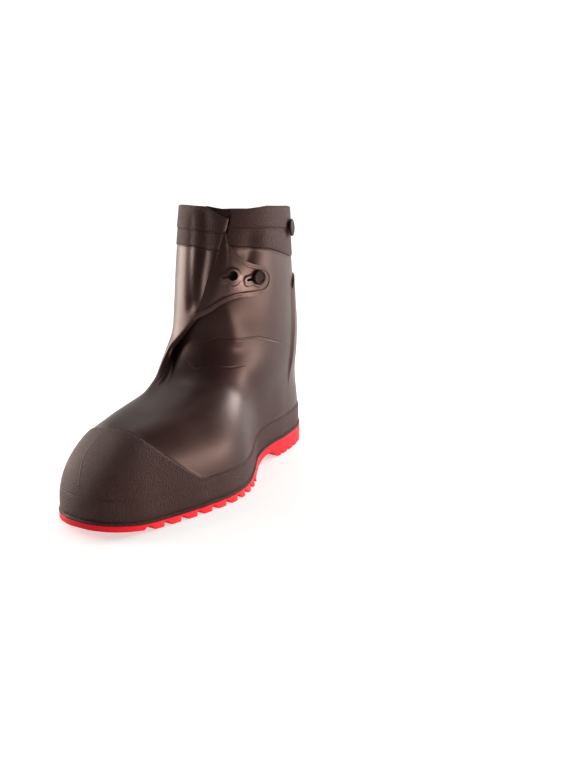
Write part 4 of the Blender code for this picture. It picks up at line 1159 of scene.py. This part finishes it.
# %% Thicken the strap and cut its keyholes
def keyhole_cutter(place):
    """An upright prism with a keyhole's outline."""
    bm = bmesh.new()
    half = SLIT_WIDTH / 2
    start = math.asin(half / HOLE_RADIUS)
    rim = []
    for turn in np.linspace(start, 2 * math.pi - start, 40):
        rim.append((HOLE_RADIUS * math.cos(turn), HOLE_RADIUS * math.sin(turn), -CUT_REACH))
    for turn in np.linspace(-math.pi / 2, math.pi / 2, 9):
        rim.append((place[2] - half + half * math.cos(turn), half * math.sin(turn), -CUT_REACH))
    base = bm.faces.new([bm.verts.new(point) for point in rim])
    made = bmesh.ops.extrude_face_region(bm, geom=[base])["geom"]
    lifted = [v for v in made if isinstance(v, bmesh.types.BMVert)]
    bmesh.ops.translate(bm, verts=lifted, vec=(0.0, 0.0, 2.0 * CUT_REACH))
    bmesh.ops.recalc_face_normals(bm, faces=bm.faces)
    bm.transform(keyhole_frame(place))
    for vertex in bm.verts:
        vertex.co = place_point(vertex.co)
    mesh = bpy.data.meshes.new("keyhole")
    bm.to_mesh(mesh)
    bm.free()
    return bpy.data.objects.new("keyhole", mesh)


def cut_away(piece, cutters):
    """Cuts the cutters out of a piece for good, and removes them."""
    for cutter in cutters:
        bpy.context.scene.collection.objects.link(cutter)
        cut = piece.modifiers.new(cutter.name, "BOOLEAN")
        cut.operation = "DIFFERENCE"
        cut.solver = "EXACT"
        cut.object = cutter
    shown = piece.evaluated_get(bpy.context.evaluated_depsgraph_get())
    mesh = bpy.data.meshes.new_from_object(shown)
    piece.modifiers.clear()
    piece.data = mesh
    mesh.set_sharp_from_angle(angle=math.radians(SHARP))
    for cutter in cutters:
        bpy.data.objects.remove(cutter, do_unlink=True)


def make_strap():
    bm = bmesh.new()
    bmesh.ops.create_grid(bm, x_segments=STRAP_COLUMNS, y_segments=STRAP_ROWS, size=1.0)
    bm.verts.ensure_lookup_table()
    for number, vertex in enumerate(bm.verts):
        vertex.co = place_point(STRAP_FACE[divmod(number, STRAP_COLUMNS + 1)])
    bmesh.ops.solidify(bm, geom=bm.faces[:], thickness=STRAP_THICKNESS * MM)
    bmesh.ops.recalc_face_normals(bm, faces=bm.faces)
    rim = [e for e in bm.edges if len(e.link_faces) == 2 and e.calc_face_angle(0.0) > math.radians(60.0)]
    bmesh.ops.bevel(bm, geom=rim, offset=STRAP_BEVEL * MM, segments=3, profile=0.5, affect="EDGES",
                    material=-1, clamp_overlap=True)
    strap = finished("buttoned_strap", bm, "strap")
    cut_away(strap, [keyhole_cutter(place) for place in (BUTTON_PLACE, FREE_HOLE_PLACE)])
    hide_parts("closing_strap")
    return strap


report(make_strap())

# %% [markdown]
# ## The studs
# Each stud is turned work: a short neck under a flat head with a soft edge. A cylinder with bevels could
# do, but the head has a shallow dish inside a raised ring, so half of its profile is spun round instead.

# %% Spin the studs
STUD_STEPS = 56
STUD_SHARP = 55.0
STRAP_STUD = (
    # radius, height over the panel
    (0.0, 0.3), (3.8, 0.3), (3.8, 3.0), (6.4, 3.0), (6.75, 3.15), (6.95, 3.5), (7.0, 4.0), (7.0, 4.9),
    (6.9, 5.45), (6.6, 5.95), (6.1, 6.25), (5.5, 6.4), (4.85, 6.35), (4.4, 6.1), (4.0, 5.85), (3.5, 5.75),
    (1.8, 5.8), (0.0, 5.85),
)
COLLAR_STUD = (
    (0.0, 1.8), (5.0, 1.8), (4.3, 2.2), (4.0, 2.7), (7.7, 2.9), (8.2, 3.05), (8.45, 3.4), (8.45, 3.8),
    (8.2, 4.35), (7.6, 4.85), (6.6, 5.2), (5.2, 5.42), (3.0, 5.55), (0.0, 5.6),
)


def make_stud(name, place, profile, node):
    bm = bmesh.new()
    points = [bm.verts.new((radius, 0.0, height)) for radius, height in profile]
    edges = [bm.edges.new(pair) for pair in zip(points, points[1:])]
    bmesh.ops.spin(bm, geom=points + edges, cent=(0, 0, 0), axis=(0, 0, 1), angle=2 * math.pi,
                   steps=STUD_STEPS, use_merge=True)
    bmesh.ops.remove_doubles(bm, verts=bm.verts, dist=0.001)
    bmesh.ops.recalc_face_normals(bm, faces=bm.faces)
    bm.transform(panel_frame(place))
    for vertex in bm.verts:
        vertex.co = place_point(vertex.co)
    stud = finished(name, bm, "stud", STUD_SHARP)
    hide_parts(node)
    return stud


report(make_stud("strap_stud", BUTTON_PLACE, STRAP_STUD, "strap_button"))
report(make_stud("collar_stud", COLLAR_BUTTON_PLACE, COLLAR_STUD, "collar_button"))

# %% [markdown]
# ## The sole and the footbed
# The sole is moulded red rubber with lugs under the forefoot and bars under the heel. The solid already has
# every lug and groove, but its edges are knife sharp. It could be modelled again, but a merged copy with a
# small bevel is enough for the soft edges of a moulding. The footbed only needs its finish.

# %% Soften the sole
SOLE_EDGE = 0.5
SOLE_ANGLE = 28.0           # edges that turn more than this many degrees are bevelled
SOLE_SHARP = 30.0


def make_sole():
    bm = bmesh.new()
    bm.from_mesh(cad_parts["outsole"].data)
    bmesh.ops.remove_doubles(bm, verts=bm.verts, dist=0.005 * MM)
    bmesh.ops.dissolve_limit(bm, angle_limit=math.radians(0.5), verts=bm.verts, edges=bm.edges)
    sole = finished("red_sole", bm, "sole", SOLE_SHARP)
    soft = sole.modifiers.new("soft_edges", "BEVEL")
    soft.width = SOLE_EDGE * MM
    soft.segments = 2
    soft.limit_method = "ANGLE"
    soft.angle_limit = math.radians(SOLE_ANGLE)
    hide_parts("outsole")
    return sole


report(make_sole())
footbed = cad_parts["insole"]
footbed.data.materials.clear()
footbed.data.materials.append(FINISH["footbed"])
print("footbed finish:", footbed.data.materials[0].name)
